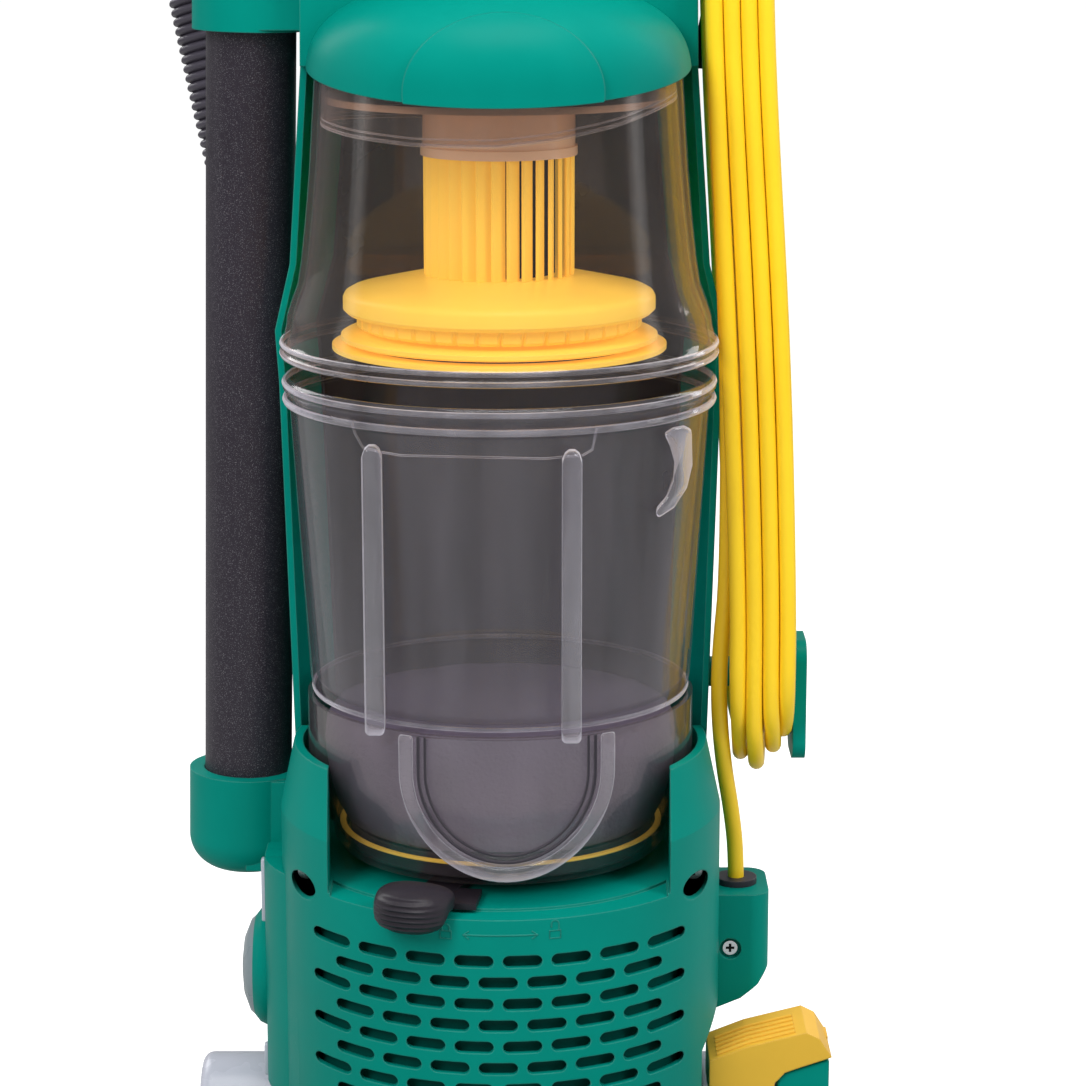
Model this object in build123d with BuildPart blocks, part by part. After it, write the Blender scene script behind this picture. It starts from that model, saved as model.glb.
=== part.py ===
"""Commercial bagless upright vacuum cleaner, in millimetres.

Frame: -Y is the front of the nozzle, +X is on the right of someone who looks
at that front, +Z is up. The floor is z = 0 and the origin is under the middle
of the machine. The upright body turns about the pivot axis, which is also the
axis of the motor shaft.
"""
import math
import os

from build123d import *

os.makedirs("parts", exist_ok=True)

# ---------------------------------------------------------------- driving sizes
WALL = 3.0                      # moulded housings
CLEAR = 0.4                     # running clearance between moving parts

# nozzle and base
BASE_HALF_W = 176.0
BUMPER_T = 4.0
NOZZLE_FRONT = -161.0
NOZZLE_BACK = -45.0
BASE_TOP = 60.0
BASE_CEILING = 51.0
SOLE_T = 6.0
ARM_IN = 104.0                  # inner face of the two rear arms
ARM_OUT = 154.0
ARM_BACK = 136.0
CORNER_R = 14.0

# pivot, motor and belt
PIVOT_Y = 80.0
PIVOT_Z = 66.0
TRUNNION_R = 18.0
TRUNNION_BORE_R = 12.0
BUSH_R = 20.5
EAR_R = 27.0
EAR_IN = 94.5
EAR_OUT = 124.0
CHAMBER_OUT = 140.0             # end chambers of the ears: belt on the right, duct on the left
MOTOR_R = 47.0
MOTOR_HALF_LEN = 62.0
SHAFT_R = 4.0
PULLEY_R = 7.0
BELT_IN = 128.0
BELT_OUT = 138.0
BELT_T = 3.0

# brush roll
BRUSH_Y = -118.0
BRUSH_Z = 27.0
BRUSH_CORE_R = 15.0
BRUSH_TIP_R = 23.0
BRUSH_HALF_LEN = 158.0

# wheels
WHEEL_R = 28.0
WHEEL_Y = 122.0
WHEEL_IN = 158.0
WHEEL_OUT = 176.0
AXLE_R = 4.0
ROLLER_R = 8.0
ROLLER_Y = -62.0
ROLLER_Z = 10.0
ROLLER_X = 75.0
KNOB_X = 0.0

# pedal
PEDAL_IN = 95.0
PEDAL_FRONT = 8.0
PEDAL_BACK = 44.0
PEDAL_WALL = 2.5
PEDAL_PIN_Y = 46.0
PEDAL_PIN_Z = 72.0

# clear cup, tray and cover, all about one vertical axis
CUP_Y = 40.0
RIM_R = 96.0
RIM_TOP = 429.0
CUP_BOTTOM = 286.0
CUP_BOTTOM_R = 85.0
CUP_WALL = 2.5
TRAY_BOTTOM = 214.0
TRAY_TOP = 285.0
TRAY_R = 87.0
COVER_BOTTOM = 438.0
COVER_TOP = 562.0
COVER_FLANGE_R = 97.0
COVER_TOP_R = 80.0
DISC_R = 69.0
SHROUD_R = 33.5
COLLAR_BOTTOM = 526.0
RIB_X = (-53.0, 31.5)
RIB_BOTTOM = 287.0
RIB_W = 8.0
CUP_HEAD_R = 93.0
RIB_TOP = 411.0
LATCH_REST = -21.0

# motor housing under the cup
HOUSE_R = 100.0
HOUSE_WAIST = 91.0              # half width between the base ears
HOUSE_TOP = 209.0
HOUSE_BACK = 150.0
SPLIT_Y = 58.0                  # parting plane between front cover and back shell

# shell of revolution behind the cup: (radius, height) of its outer face
BAY_PROFILE = [(94.5, HOUSE_TOP), (96.5, 262.0), (101.0, 422.0), (102.5, 445.0), (95.5, 475.0), (89.5, 563.0)]
SPINE_HALF_W = 58.0
SPINE_BACK = 165.0
SPINE_BOTTOM = 128.0
SHELL_TOP = 563.0

# exhaust grille
GRILLE_ROWS = 9
GRILLE_TOP = 189.0
GRILLE_ROW_PITCH = 9.75
GRILLE_PITCH = 21.0
GRILLE_SLOT_L = 17.0
GRILLE_SLOT_H = 5.5
POST_SCREW_X = 87.0
POST_SCREW_Z = 207.0

# clean-out cap on the left side, lift stem under the tray
CAP_Y = 70.0
CAP_Z = 142.0
LIFT_STEM_R = 8.0

# top housing and handle
DOME_SPLIT_Y = 52.0
DOME_R = 84.0
DOME_FOOT = 560.0
DOME_RIM = 565.0
PANEL_X = 3.0
TOP_HALF_W = 87.5
DOME_TOP = 608.0
NECK_TOP = 716.0
HANDLE_Y = 112.0
HANDLE_R = 15.0
GRIP_BOTTOM = 972.0
GRIP_HALF_W = 14.0
SWITCH_Y = 71.0
SWITCH_Z = 1004.0
TOP = 1120.0

# wand at the left side, leaning a little outwards at its foot
WAND_FOOT = (-119.6, 88.0, 214.0)
WAND_HEAD = (-109.0, 88.0, 690.0)
WAND_R = 20.3
WAND_WALL = 2.2
HOLDER_BOTTOM = 186.0
HOLDER_RIM = 234.0
HOLDER_R = 27.5
SLEEVE_BOTTOM = 577.0
SLEEVE_TOP = 652.0
SLEEVE_R = 26.5
GRIP_RUN = 45.0
GRIP_BEND_R = 48.0

# hose and cord
HOSE_R = 18.0
HOSE_BORE_R = 15.0
SOCKET_X = -79.0
SOCKET_Y = 128.0
SOCKET_TOP = 292.0
CORD_R = 3.75
GROMMET_X = 109.5
GROMMET_Y = 66.0
GROMMET_TOP = 187.0
CLAMP_X = 106.0
CLAMP_Z = 158.0
HOOK_Y = 72.0
LOWER_HOOK_Z = 284.0
UPPER_HOOK_Z = 655.0
HOOK_ARM_R = 7.0
HOOK_BOSS_R = 12.5
HANK_IN_R = 18.4                # the turns hang on the upper hook and pass below the lower one
HANK_OUT_R = 34.0
HANK_LOW_Z = 278.0
HANK_HIGH_Z = 643.6


def save(part, label):
    """Name one finished sub-part and write it to its own file."""
    part.label = label
    export_step(part, f"parts/{label}.step")


def block(x0, x1, y0, y1, z0, z1):
    """Box between two corners; either end of the x span may come first."""
    middle = Pos((x0 + x1) / 2, (y0 + y1) / 2, (z0 + z1) / 2)
    return middle * Box(abs(x1 - x0), y1 - y0, z1 - z0, mode=Mode.PRIVATE)


def rod(start, end, radius):
    """Round bar from one point to another."""
    axis = Vector(*end) - Vector(*start)
    foot = (Align.CENTER, Align.CENTER, Align.MIN)
    return Plane(origin=start, z_dir=axis) * Cylinder(radius, axis.length, align=foot, mode=Mode.PRIVATE)


def turned(outline):
    """Solid of revolution of an (r, z) outline about the cup axis."""
    with BuildPart() as body:
        with BuildSketch(Plane.XZ.offset(-CUP_Y)):
            with BuildLine():
                Polyline(*outline, close=True)
            make_face()
        revolve(axis=Axis((0, CUP_Y, 0), (0, 0, 1)))
    return body.part


def bay_solid(inset):
    """Solid inside the back shell's outer face, less a wall of the given thickness."""
    outline = [(0, BAY_PROFILE[0][1])] + [(r - inset, z) for r, z in BAY_PROFILE] + [(0, BAY_PROFILE[-1][1])]
    return turned(outline)


def house_solid(inset):
    """Solid of the motor housing: round front in plan, drum round the pivot in side view."""
    with BuildPart() as plan:
        with BuildSketch(Plane.XY.offset(PIVOT_Z - 60)):
            with Locations((0, CUP_Y)):
                Circle(HOUSE_R - inset)
            with Locations((0, (CUP_Y + HOUSE_BACK - inset) / 2)):
                Rectangle(2 * (HOUSE_R - inset), HOUSE_BACK - inset - CUP_Y)
            fillet([v for v in vertices() if v.Y > HOUSE_BACK - inset - 1], radius=15)
        extrude(amount=HOUSE_TOP - inset - (PIVOT_Z - 60))
    front = CUP_Y - HOUSE_R + inset
    drum_r = 58.0 - inset
    with BuildPart() as side:
        with BuildSketch(Plane.YZ.offset(-HOUSE_R)):
            with Locations((PIVOT_Y, PIVOT_Z)):
                Circle(drum_r)
            with BuildLine():
                Polyline(
                    (front, HOUSE_TOP), (front, 104), (-34 + inset, 62), (28 + inset, 26),
                    (PIVOT_Y, PIVOT_Z - 8), (PIVOT_Y + drum_r, PIVOT_Z),
                    (HOUSE_BACK - inset, 112), (HOUSE_BACK - inset, HOUSE_TOP), close=True,
                )
            make_face()
        extrude(amount=2 * HOUSE_R)
    with BuildPart() as waist:
        with BuildSketch(Plane.XZ.offset(-HOUSE_BACK)):
            with BuildLine():
                slim = HOUSE_WAIST - inset
                wide = HOUSE_R - inset
                Polyline(
                    (-slim, 0), (slim, 0), (slim, 126), (wide, 140), (wide, HOUSE_TOP),
                    (-wide, HOUSE_TOP), (-wide, 140), (-slim, 126), close=True,
                )
            make_face()
        extrude(amount=HOUSE_BACK - CUP_Y + HOUSE_R)
    return plan.part & side.part & waist.part


bay_outer = bay_solid(0)
house_outer = house_solid(0)
house_inner = house_solid(WALL)
front_half = block(-200, 200, -200, SPLIT_Y, 0, NECK_TOP)
back_half = block(-200, 200, SPLIT_Y, 200, 0, NECK_TOP)

# ---------------------------------------------------------------- base
with BuildPart() as base_housing:
    with BuildSketch(Plane.XY.offset(SOLE_T)):
        with BuildLine():
            Polyline(
                (-BASE_HALF_W, NOZZLE_FRONT), (BASE_HALF_W, NOZZLE_FRONT), (BASE_HALF_W, -20),
                (ARM_OUT, 18), (ARM_OUT, ARM_BACK), (ARM_IN, ARM_BACK), (ARM_IN, NOZZLE_BACK),
                (-ARM_IN, NOZZLE_BACK), (-ARM_IN, ARM_BACK), (-ARM_OUT, ARM_BACK), (-ARM_OUT, 18),
                (-BASE_HALF_W, -20), close=True,
            )
        make_face()
        fillet([v for v in vertices() if abs(v.X) > ARM_IN + 1], radius=CORNER_R)
    extrude(amount=BASE_TOP - SOLE_T)
    top_rim = edges().filter_by(Plane.XY).group_by(Axis.Z)[-1]
    fillet([e for e in top_rim if e.center().Y < NOZZLE_BACK - 5 or abs(e.center().X) > ARM_IN + 1], radius=9)
    # hollow from below
    with BuildSketch(Plane.XY.offset(SOLE_T)):
        with BuildLine():
            Polyline(
                (-BASE_HALF_W + WALL, NOZZLE_FRONT + WALL), (BASE_HALF_W - WALL, NOZZLE_FRONT + WALL),
                (BASE_HALF_W - WALL, -21), (ARM_OUT - WALL, 17), (ARM_OUT - WALL, ARM_BACK - WALL),
                (ARM_IN + WALL, ARM_BACK - WALL), (ARM_IN + WALL, NOZZLE_BACK - WALL),
                (-ARM_IN - WALL, NOZZLE_BACK - WALL), (-ARM_IN - WALL, ARM_BACK - WALL),
                (-ARM_OUT + WALL, ARM_BACK - WALL), (-ARM_OUT + WALL, 17), (-BASE_HALF_W + WALL, -21),
                close=True,
            )
        make_face()
        fillet([v for v in vertices() if abs(v.X) > ARM_IN + WALL + 1], radius=CORNER_R - WALL)
    extrude(amount=BASE_CEILING - SOLE_T, mode=Mode.SUBTRACT)
    for side in (-1, 1):
        # lower half of each ear, with its web down into the arm
        ear_in = side * EAR_IN
        ear_out = side * EAR_OUT
        add(block(ear_in, ear_out, PIVOT_Y - EAR_R, PIVOT_Y + EAR_R, SOLE_T + 12, PIVOT_Z))
        add(rod((ear_in, PIVOT_Y, PIVOT_Z), (ear_out, PIVOT_Y, PIVOT_Z), BUSH_R), mode=Mode.SUBTRACT)
        # opening from the arm into the end chamber of the ear
        chamber_front = PIVOT_Y - EAR_R + WALL
        chamber_back = PIVOT_Y + EAR_R - WALL
        add(block(ear_out, side * CHAMBER_OUT, chamber_front, chamber_back, BASE_CEILING - 1, BASE_TOP + 1),
            mode=Mode.SUBTRACT)
    # slot for the belt, cheeks for the pedal pin and the height knob's bearing
    add(block(BELT_IN - 1, BELT_OUT + 1, -86, PIVOT_Y, BASE_CEILING - 1, BASE_TOP + 1), mode=Mode.SUBTRACT)
    add(block(142, 144.5, PEDAL_PIN_Y - 8, PEDAL_PIN_Y + 8, BASE_TOP - 6, PEDAL_PIN_Z + 7))
    add(block(152.5, ARM_OUT, PEDAL_PIN_Y - 8, PEDAL_PIN_Y + 8, BASE_TOP - 6, PEDAL_PIN_Z + 7))
    add(rod((140, PEDAL_PIN_Y, PEDAL_PIN_Z), (156, PEDAL_PIN_Y, PEDAL_PIN_Z), 2.0), mode=Mode.SUBTRACT)
    # axle bores of the rear wheels
    add(rod((-ARM_OUT - 1, WHEEL_Y, WHEEL_R), (ARM_OUT + 1, WHEEL_Y, WHEEL_R), AXLE_R), mode=Mode.SUBTRACT)
    # bore for the height knob's shaft
    add(rod((KNOB_X, ROLLER_Y, BASE_CEILING - 1), (KNOB_X, ROLLER_Y, BASE_TOP + 1), 6.5), mode=Mode.SUBTRACT)
save(base_housing.part, "base_housing")

with BuildPart() as sole_plate:
    with BuildSketch():
        with Locations((0, (NOZZLE_FRONT + NOZZLE_BACK) / 2)):
            RectangleRounded(2 * BASE_HALF_W - 4, NOZZLE_BACK - NOZZLE_FRONT - 4, 10)
        with Locations((0, BRUSH_Y)):
            Rectangle(2 * BRUSH_HALF_LEN - 12, 50, mode=Mode.SUBTRACT)
        with Locations((-ROLLER_X, ROLLER_Y), (ROLLER_X, ROLLER_Y)):
            Rectangle(34, 22, mode=Mode.SUBTRACT)
        # ribs that keep the carpet out of the brush window
        with GridLocations(76, 0, 3, 1):
            with Locations((0, BRUSH_Y)):
                Rectangle(5, 52)
    extrude(amount=SOLE_T)
    for x in (-BASE_HALF_W + 12, BASE_HALF_W - 12):
        for y in (NOZZLE_FRONT + 14, NOZZLE_BACK - 14):
            add(rod((x, y, -1), (x, y, 3), 4), mode=Mode.SUBTRACT)
            add(rod((x, y, -1), (x, y, SOLE_T + 1), 2), mode=Mode.SUBTRACT)
    ribs_top = block(-BRUSH_HALF_LEN + 7, BRUSH_HALF_LEN - 7, BRUSH_Y - 24, BRUSH_Y + 24, 3, SOLE_T + 1)
    add(ribs_top, mode=Mode.SUBTRACT)
save(sole_plate.part, "sole_plate")

with BuildPart() as front_bumper:
    with BuildSketch(Plane.XY.offset(18)):
        with Locations((0, NOZZLE_FRONT / 2 - 50)):
            outer_w = 2 * (BASE_HALF_W + BUMPER_T)
            RectangleRounded(outer_w, 2 * (BUMPER_T - NOZZLE_FRONT / 2 - 50), CORNER_R + BUMPER_T)
            RectangleRounded(2 * BASE_HALF_W, 2 * (-NOZZLE_FRONT / 2 - 50), CORNER_R, mode=Mode.SUBTRACT)
        with Locations((0, 0)):
            Rectangle(2 * outer_w, 230, mode=Mode.SUBTRACT)
    extrude(amount=16)
save(front_bumper.part, "front_bumper")

with BuildPart() as ear_caps:
    belt_cover_front = -64.0
    belt_cover_back = PIVOT_Y - EAR_R + 2
    for side in (-1, 1):
        with BuildSketch(Plane.YZ.offset(side * EAR_IN)):
            with Locations((PIVOT_Y, PIVOT_Z)):
                Circle(EAR_R)
            with Locations((PIVOT_Y, PIVOT_Z - EAR_R)):
                Rectangle(3 * EAR_R, 2 * EAR_R, mode=Mode.SUBTRACT)
        extrude(amount=side * (CHAMBER_OUT + WALL - EAR_IN))
        x0 = side * (EAR_OUT + 0.2)
        x1 = side * (CHAMBER_OUT + WALL)
        add(block(x0, x1, PIVOT_Y - EAR_R, PIVOT_Y + EAR_R, BASE_TOP, PIVOT_Z))
        fillet(edges().filter_by(GeomType.CIRCLE).sort_by(Axis.X)[-1 if side > 0 else 0], radius=5)
    # sloping cover over the belt's run across the base
    with BuildSketch(Plane.YZ.offset(BELT_IN - 3.5)):
        with BuildLine():
            Polyline(
                (belt_cover_front, BASE_TOP), (belt_cover_front + 6, 65), (belt_cover_back, 82),
                (belt_cover_back, BASE_TOP), close=True,
            )
        make_face()
    extrude(amount=BELT_OUT - BELT_IN + 7)
    with BuildSketch(Plane.YZ.offset(BELT_IN - 1)):
        with BuildLine():
            Polyline(
                (belt_cover_front + 4, BASE_TOP - 1), (belt_cover_front + 8, 63), (belt_cover_back + 1, 79.5),
                (belt_cover_back + 1, BASE_TOP - 1), close=True,
            )
        make_face()
    extrude(amount=BELT_OUT - BELT_IN + 2, mode=Mode.SUBTRACT)
    for side in (-1, 1):
        add(rod((side * (EAR_IN - 1), PIVOT_Y, PIVOT_Z), (side * CHAMBER_OUT, PIVOT_Y, PIVOT_Z), BUSH_R),
            mode=Mode.SUBTRACT)
        x0 = side * (EAR_OUT + WALL)
        x1 = side * CHAMBER_OUT
        add(block(x0, x1, PIVOT_Y - BUSH_R, PIVOT_Y + BUSH_R, BASE_TOP - 1, PIVOT_Z), mode=Mode.SUBTRACT)
    # the belt leaves the right cap through its front wall
    belt_top = PIVOT_Z + PULLEY_R + BELT_T
    add(block(BELT_IN - 1, BELT_OUT + 1, PIVOT_Y - EAR_R - 1, PIVOT_Y, BASE_TOP - 1, belt_top + 2),
        mode=Mode.SUBTRACT)
save(ear_caps.part, "ear_caps")

with BuildPart() as pivot_bushes:
    for side in (-1, 1):
        with BuildSketch(Plane.YZ.offset(side * EAR_IN)):
            with Locations((PIVOT_Y, PIVOT_Z)):
                Circle(BUSH_R)
                Circle(TRUNNION_R + 0.25, mode=Mode.SUBTRACT)
        extrude(amount=side * (EAR_OUT - EAR_IN))
save(pivot_bushes.part, "pivot_bushes")

with BuildPart() as floor_duct:
    duct_x = -(EAR_OUT + CHAMBER_OUT) / 2 + 0.5
    with BuildLine():
        FilletPolyline(
            (duct_x, -88, 28), (duct_x, 50, 28),
            (duct_x, PIVOT_Y - 3, PIVOT_Z - 17), (duct_x, PIVOT_Y, PIVOT_Z - 9),
            radius=[22, 6],
        )
    with BuildSketch(Plane(origin=(duct_x, -88, 28), z_dir=(0, 1, 0))):
        Circle(7.5)
        Circle(6, mode=Mode.SUBTRACT)
    sweep()
save(floor_duct.part, "floor_duct")

with BuildPart() as axles_and_pins:
    for side in (-1, 1):
        axle_end = side * (ARM_OUT - 18)
        add(rod((axle_end, WHEEL_Y, WHEEL_R), (side * (ARM_OUT - 8), WHEEL_Y, WHEEL_R), 7))
        add(rod((side * ARM_OUT, WHEEL_Y, WHEEL_R), (side * (WHEEL_IN - 0.5), WHEEL_Y, WHEEL_R), 9))
        add(rod((axle_end, WHEEL_Y, WHEEL_R), (side * (WHEEL_OUT - 1), WHEEL_Y, WHEEL_R), AXLE_R))
    add(rod((142, PEDAL_PIN_Y, PEDAL_PIN_Z), (ARM_OUT, PEDAL_PIN_Y, PEDAL_PIN_Z), 2.0))
save(axles_and_pins.part, "axles_and_pins")

# ---------------------------------------------------------------- running gear
for name, side in (("left", -1), ("right", 1)):
    with BuildPart() as rear_wheel:
        with BuildSketch(Plane.YZ.offset(side * WHEEL_IN)):
            with Locations((WHEEL_Y, WHEEL_R)):
                Circle(WHEEL_R - 5)
                Circle(AXLE_R + 0.3, mode=Mode.SUBTRACT)
        extrude(amount=side * (WHEEL_OUT - WHEEL_IN))
        with BuildSketch(Plane.YZ.offset(side * (WHEEL_OUT - 5))):
            with Locations((WHEEL_Y, WHEEL_R)):
                Circle(WHEEL_R - 9)
                Circle(11, mode=Mode.SUBTRACT)
        extrude(amount=side * 6, mode=Mode.SUBTRACT)
        with BuildSketch(Plane.YZ.offset(side * (WHEEL_OUT - 6))):
            with Locations((WHEEL_Y, WHEEL_R)):
                with PolarLocations(15, 6):
                    Rectangle(10, 3)
        extrude(amount=side * 5)
    save(rear_wheel.part, f"rear_wheel_{name}")
    with BuildPart() as tyre:
        with BuildSketch(Plane.YZ.offset(side * WHEEL_IN)):
            with Locations((WHEEL_Y, WHEEL_R)):
                Circle(WHEEL_R)
                Circle(WHEEL_R - 5, mode=Mode.SUBTRACT)
        extrude(amount=side * (WHEEL_OUT - WHEEL_IN))
        rims = edges().filter_by(GeomType.CIRCLE).filter_by(lambda e: e.radius > WHEEL_R - 1)
        fillet(rims, radius=2.5)
    save(tyre.part, f"tyre_{name}")

with BuildPart() as roller_carriage:
    add(block(-ROLLER_X - 20, ROLLER_X + 20, ROLLER_Y - 4, ROLLER_Y + 4, 19.5, 26))
    for x in (-ROLLER_X, ROLLER_X):
        for side in (-1, 1):
            add(block(x + side * 14.5 - 1.5, x + side * 14.5 + 1.5, ROLLER_Y - 4, ROLLER_Y + 4, 6.5, 20))
        add(rod((x - 16, ROLLER_Y, ROLLER_Z), (x + 16, ROLLER_Y, ROLLER_Z), 2))
    add(rod((KNOB_X, ROLLER_Y, 26), (KNOB_X, ROLLER_Y, 36), 8))
save(roller_carriage.part, "roller_carriage")

with BuildPart() as front_rollers:
    for x in (-ROLLER_X, ROLLER_X):
        with BuildSketch(Plane.YZ.offset(x - 12)):
            with Locations((ROLLER_Y, ROLLER_Z)):
                Circle(ROLLER_R)
                Circle(2.3, mode=Mode.SUBTRACT)
        extrude(amount=24)
save(front_rollers.part, "front_rollers")

with BuildPart() as height_knob:
    with BuildSketch(Plane.XY.offset(BASE_TOP + 0.5)):
        with Locations((KNOB_X, ROLLER_Y)):
            Circle(20)
            with PolarLocations(21, 12):
                Circle(2.5, mode=Mode.SUBTRACT)
    extrude(amount=9)
    fillet(faces().sort_by(Axis.Z)[-1].edges(), radius=1.2)
    add(rod((KNOB_X, ROLLER_Y, 37), (KNOB_X, ROLLER_Y, BASE_TOP + 1), 6))
    add(block(KNOB_X - 2, KNOB_X + 2, ROLLER_Y - 15, ROLLER_Y + 4, BASE_TOP + 9, BASE_TOP + 13))
save(height_knob.part, "height_knob")

with BuildPart() as brush_roll:
    with BuildSketch(Plane.YZ.offset(-BRUSH_HALF_LEN)):
        with Locations((BRUSH_Y, BRUSH_Z)):
            Circle(BRUSH_CORE_R)
    extrude(amount=2 * BRUSH_HALF_LEN)
    with BuildSketch(Plane.YZ.offset(BELT_IN - 2)):
        with Locations((BRUSH_Y, BRUSH_Z)):
            Circle(BRUSH_CORE_R + 1)
            Circle(BRUSH_CORE_R - 2, mode=Mode.SUBTRACT)
    extrude(amount=BELT_OUT - BELT_IN + 4, mode=Mode.SUBTRACT)
    add(rod((-BRUSH_HALF_LEN - 10, BRUSH_Y, BRUSH_Z), (BRUSH_HALF_LEN + 10, BRUSH_Y, BRUSH_Z), AXLE_R))
save(brush_roll.part, "brush_roll")

with BuildPart() as brush_bristles:
    tufts = 40
    pitch = (BELT_IN - 8 + BRUSH_HALF_LEN - 8) / (tufts - 1)
    for row in (0, 180):
        for i in range(tufts):
            x = -BRUSH_HALF_LEN + 8 + i * pitch
            angle = math.radians(row + i * 9)
            foot = (x, BRUSH_Y + BRUSH_CORE_R * math.cos(angle), BRUSH_Z + BRUSH_CORE_R * math.sin(angle))
            tip = (x, BRUSH_Y + BRUSH_TIP_R * math.cos(angle), BRUSH_Z + BRUSH_TIP_R * math.sin(angle))
            add(rod(foot, tip, 1.8))
save(brush_bristles.part, "brush_bristles")

with BuildPart() as brush_bearings:
    for side in (-1, 1):
        x0 = side * (BRUSH_HALF_LEN + 1)
        x1 = side * (BRUSH_HALF_LEN + 12)
        add(block(x0, x1, BRUSH_Y - 12, BRUSH_Y + 12, SOLE_T, BASE_CEILING))
    add(rod((-BRUSH_HALF_LEN - 11, BRUSH_Y, BRUSH_Z), (BRUSH_HALF_LEN + 11, BRUSH_Y, BRUSH_Z), AXLE_R + 0.3),
        mode=Mode.SUBTRACT)
save(brush_bearings.part, "brush_bearings")

with BuildPart() as drive_belt:
    with BuildSketch(Plane.YZ.offset(BELT_IN)):
        with Locations((PIVOT_Y, PIVOT_Z)):
            Circle(PULLEY_R + 0.3 + BELT_T)
        with Locations((BRUSH_Y, BRUSH_Z)):
            Circle(BRUSH_CORE_R - 2 + 0.3 + BELT_T)
        make_hull()
    extrude(amount=BELT_OUT - BELT_IN)
    with BuildSketch(Plane.YZ.offset(BELT_IN)):
        with Locations((PIVOT_Y, PIVOT_Z)):
            Circle(PULLEY_R + 0.3)
        with Locations((BRUSH_Y, BRUSH_Z)):
            Circle(BRUSH_CORE_R - 2 + 0.3)
        make_hull()
    extrude(amount=BELT_OUT - BELT_IN, mode=Mode.SUBTRACT)
save(drive_belt.part, "drive_belt")

with BuildPart() as release_pedal:
    # front view: the tread rises towards the outer end and the toe overhangs the arm
    with BuildSketch(Plane.XZ.offset(-PEDAL_FRONT)) as pedal_face:
        with BuildLine():
            Polyline(
                (PEDAL_IN, 99), (PEDAL_IN, 117.5), (112.3, 124.4), (138.9, 131.2), (145, 128.1), (150.5, 119.4),
                (136.1, 114.5), (129.3, 112), (124.8, 107), (123.5, 99), close=True,
            )
        make_face()
    extrude(amount=PEDAL_FRONT - PEDAL_BACK)
    with BuildSketch(Plane.XZ.offset(-PEDAL_FRONT - PEDAL_WALL)):
        add(pedal_face.sketch_local)
        offset(amount=-PEDAL_WALL, kind=Kind.INTERSECTION)
    extrude(amount=PEDAL_FRONT - PEDAL_BACK, mode=Mode.SUBTRACT)
    # arm down to the pin
    with BuildSketch(Plane.YZ.offset(145)):
        with BuildLine():
            Polyline(
                (PEDAL_BACK - 14, 121), (PEDAL_BACK - 1, 121), (PEDAL_PIN_Y + 6, PEDAL_PIN_Z),
                (PEDAL_PIN_Y - 6, PEDAL_PIN_Z), close=True,
            )
        make_face()
        with Locations((PEDAL_PIN_Y, PEDAL_PIN_Z)):
            Circle(6)
    extrude(amount=5.5)
    add(rod((144, PEDAL_PIN_Y, PEDAL_PIN_Z), (153, PEDAL_PIN_Y, PEDAL_PIN_Z), 2.3), mode=Mode.SUBTRACT)
save(release_pedal.part, "release_pedal")

with BuildPart() as pedal_spring:
    spring_h = 98.0 - BASE_TOP
    with BuildLine():
        Helix(pitch=6, height=spring_h - 2, radius=5, center=(116, 24, BASE_TOP + 1))
    with BuildSketch(Plane(origin=(121, 24, BASE_TOP + 1), z_dir=(0, 1, 0))):
        Circle(0.8)
    sweep()
save(pedal_spring.part, "pedal_spring")

with BuildPart() as base_screws:
    for x in (-BASE_HALF_W + 12, BASE_HALF_W - 12):
        for y in (NOZZLE_FRONT + 14, NOZZLE_BACK - 14):
            add(rod((x, y, 1.5), (x, y, SOLE_T + 14), 2))
            add(rod((x, y, 0.8), (x, y, 3), 4))
save(base_screws.part, "base_screws")

# ---------------------------------------------------------------- motor and motor housing
with BuildPart() as motor_cover:
    add((house_outer & front_half) - house_inner)
    # corner posts that rise beside the tray up to the rails
    post_in = TRAY_R + 2.5
    post_top = 262
    post_outline = [
        (post_in, HOUSE_TOP), (HOUSE_R, HOUSE_TOP), (HOUSE_R, 232), (93.5, post_top), (post_in, post_top),
    ]
    post_ring = turned(post_outline)
    for side in (-1, 1):
        add(post_ring & block(side * 75, side * 101, -60, SPLIT_Y, HOUSE_TOP - 1, post_top))
    # shallow step where the lever swings
    step = turned([(88, HOUSE_TOP - 1.2), (101, HOUSE_TOP - 1.2), (101, HOUSE_TOP + 1), (88, HOUSE_TOP + 1)])
    add(step & block(-74, 74, -62, 0, HOUSE_TOP - 2, HOUSE_TOP + 1), mode=Mode.SUBTRACT)
    # exhaust grille: staggered rows of slots
    for row in range(GRILLE_ROWS):
        count = 8 - row % 2
        with BuildSketch(Plane.XZ.offset(70)):
            with Locations((0, GRILLE_TOP - row * GRILLE_ROW_PITCH)):
                with GridLocations(GRILLE_PITCH, 0, count, 1):
                    SlotOverall(GRILLE_SLOT_L, GRILLE_SLOT_H)
        extrude(amount=-82, mode=Mode.SUBTRACT)
    # deep screw holes in the posts
    for side in (-1, 1):
        x = side * POST_SCREW_X
        add(rod((x, -40, POST_SCREW_Z), (x, SPLIT_Y + 1, POST_SCREW_Z), 2.2), mode=Mode.SUBTRACT)
        add(rod((x, -40, POST_SCREW_Z), (x, 15, POST_SCREW_Z), 6), mode=Mode.SUBTRACT)
    # hole for the lift stem
    add(rod((0, CUP_Y, HOUSE_TOP - WALL - 1), (0, CUP_Y, HOUSE_TOP + 1), LIFT_STEM_R + CLEAR),
        mode=Mode.SUBTRACT)
save(motor_cover.part, "motor_cover")

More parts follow.
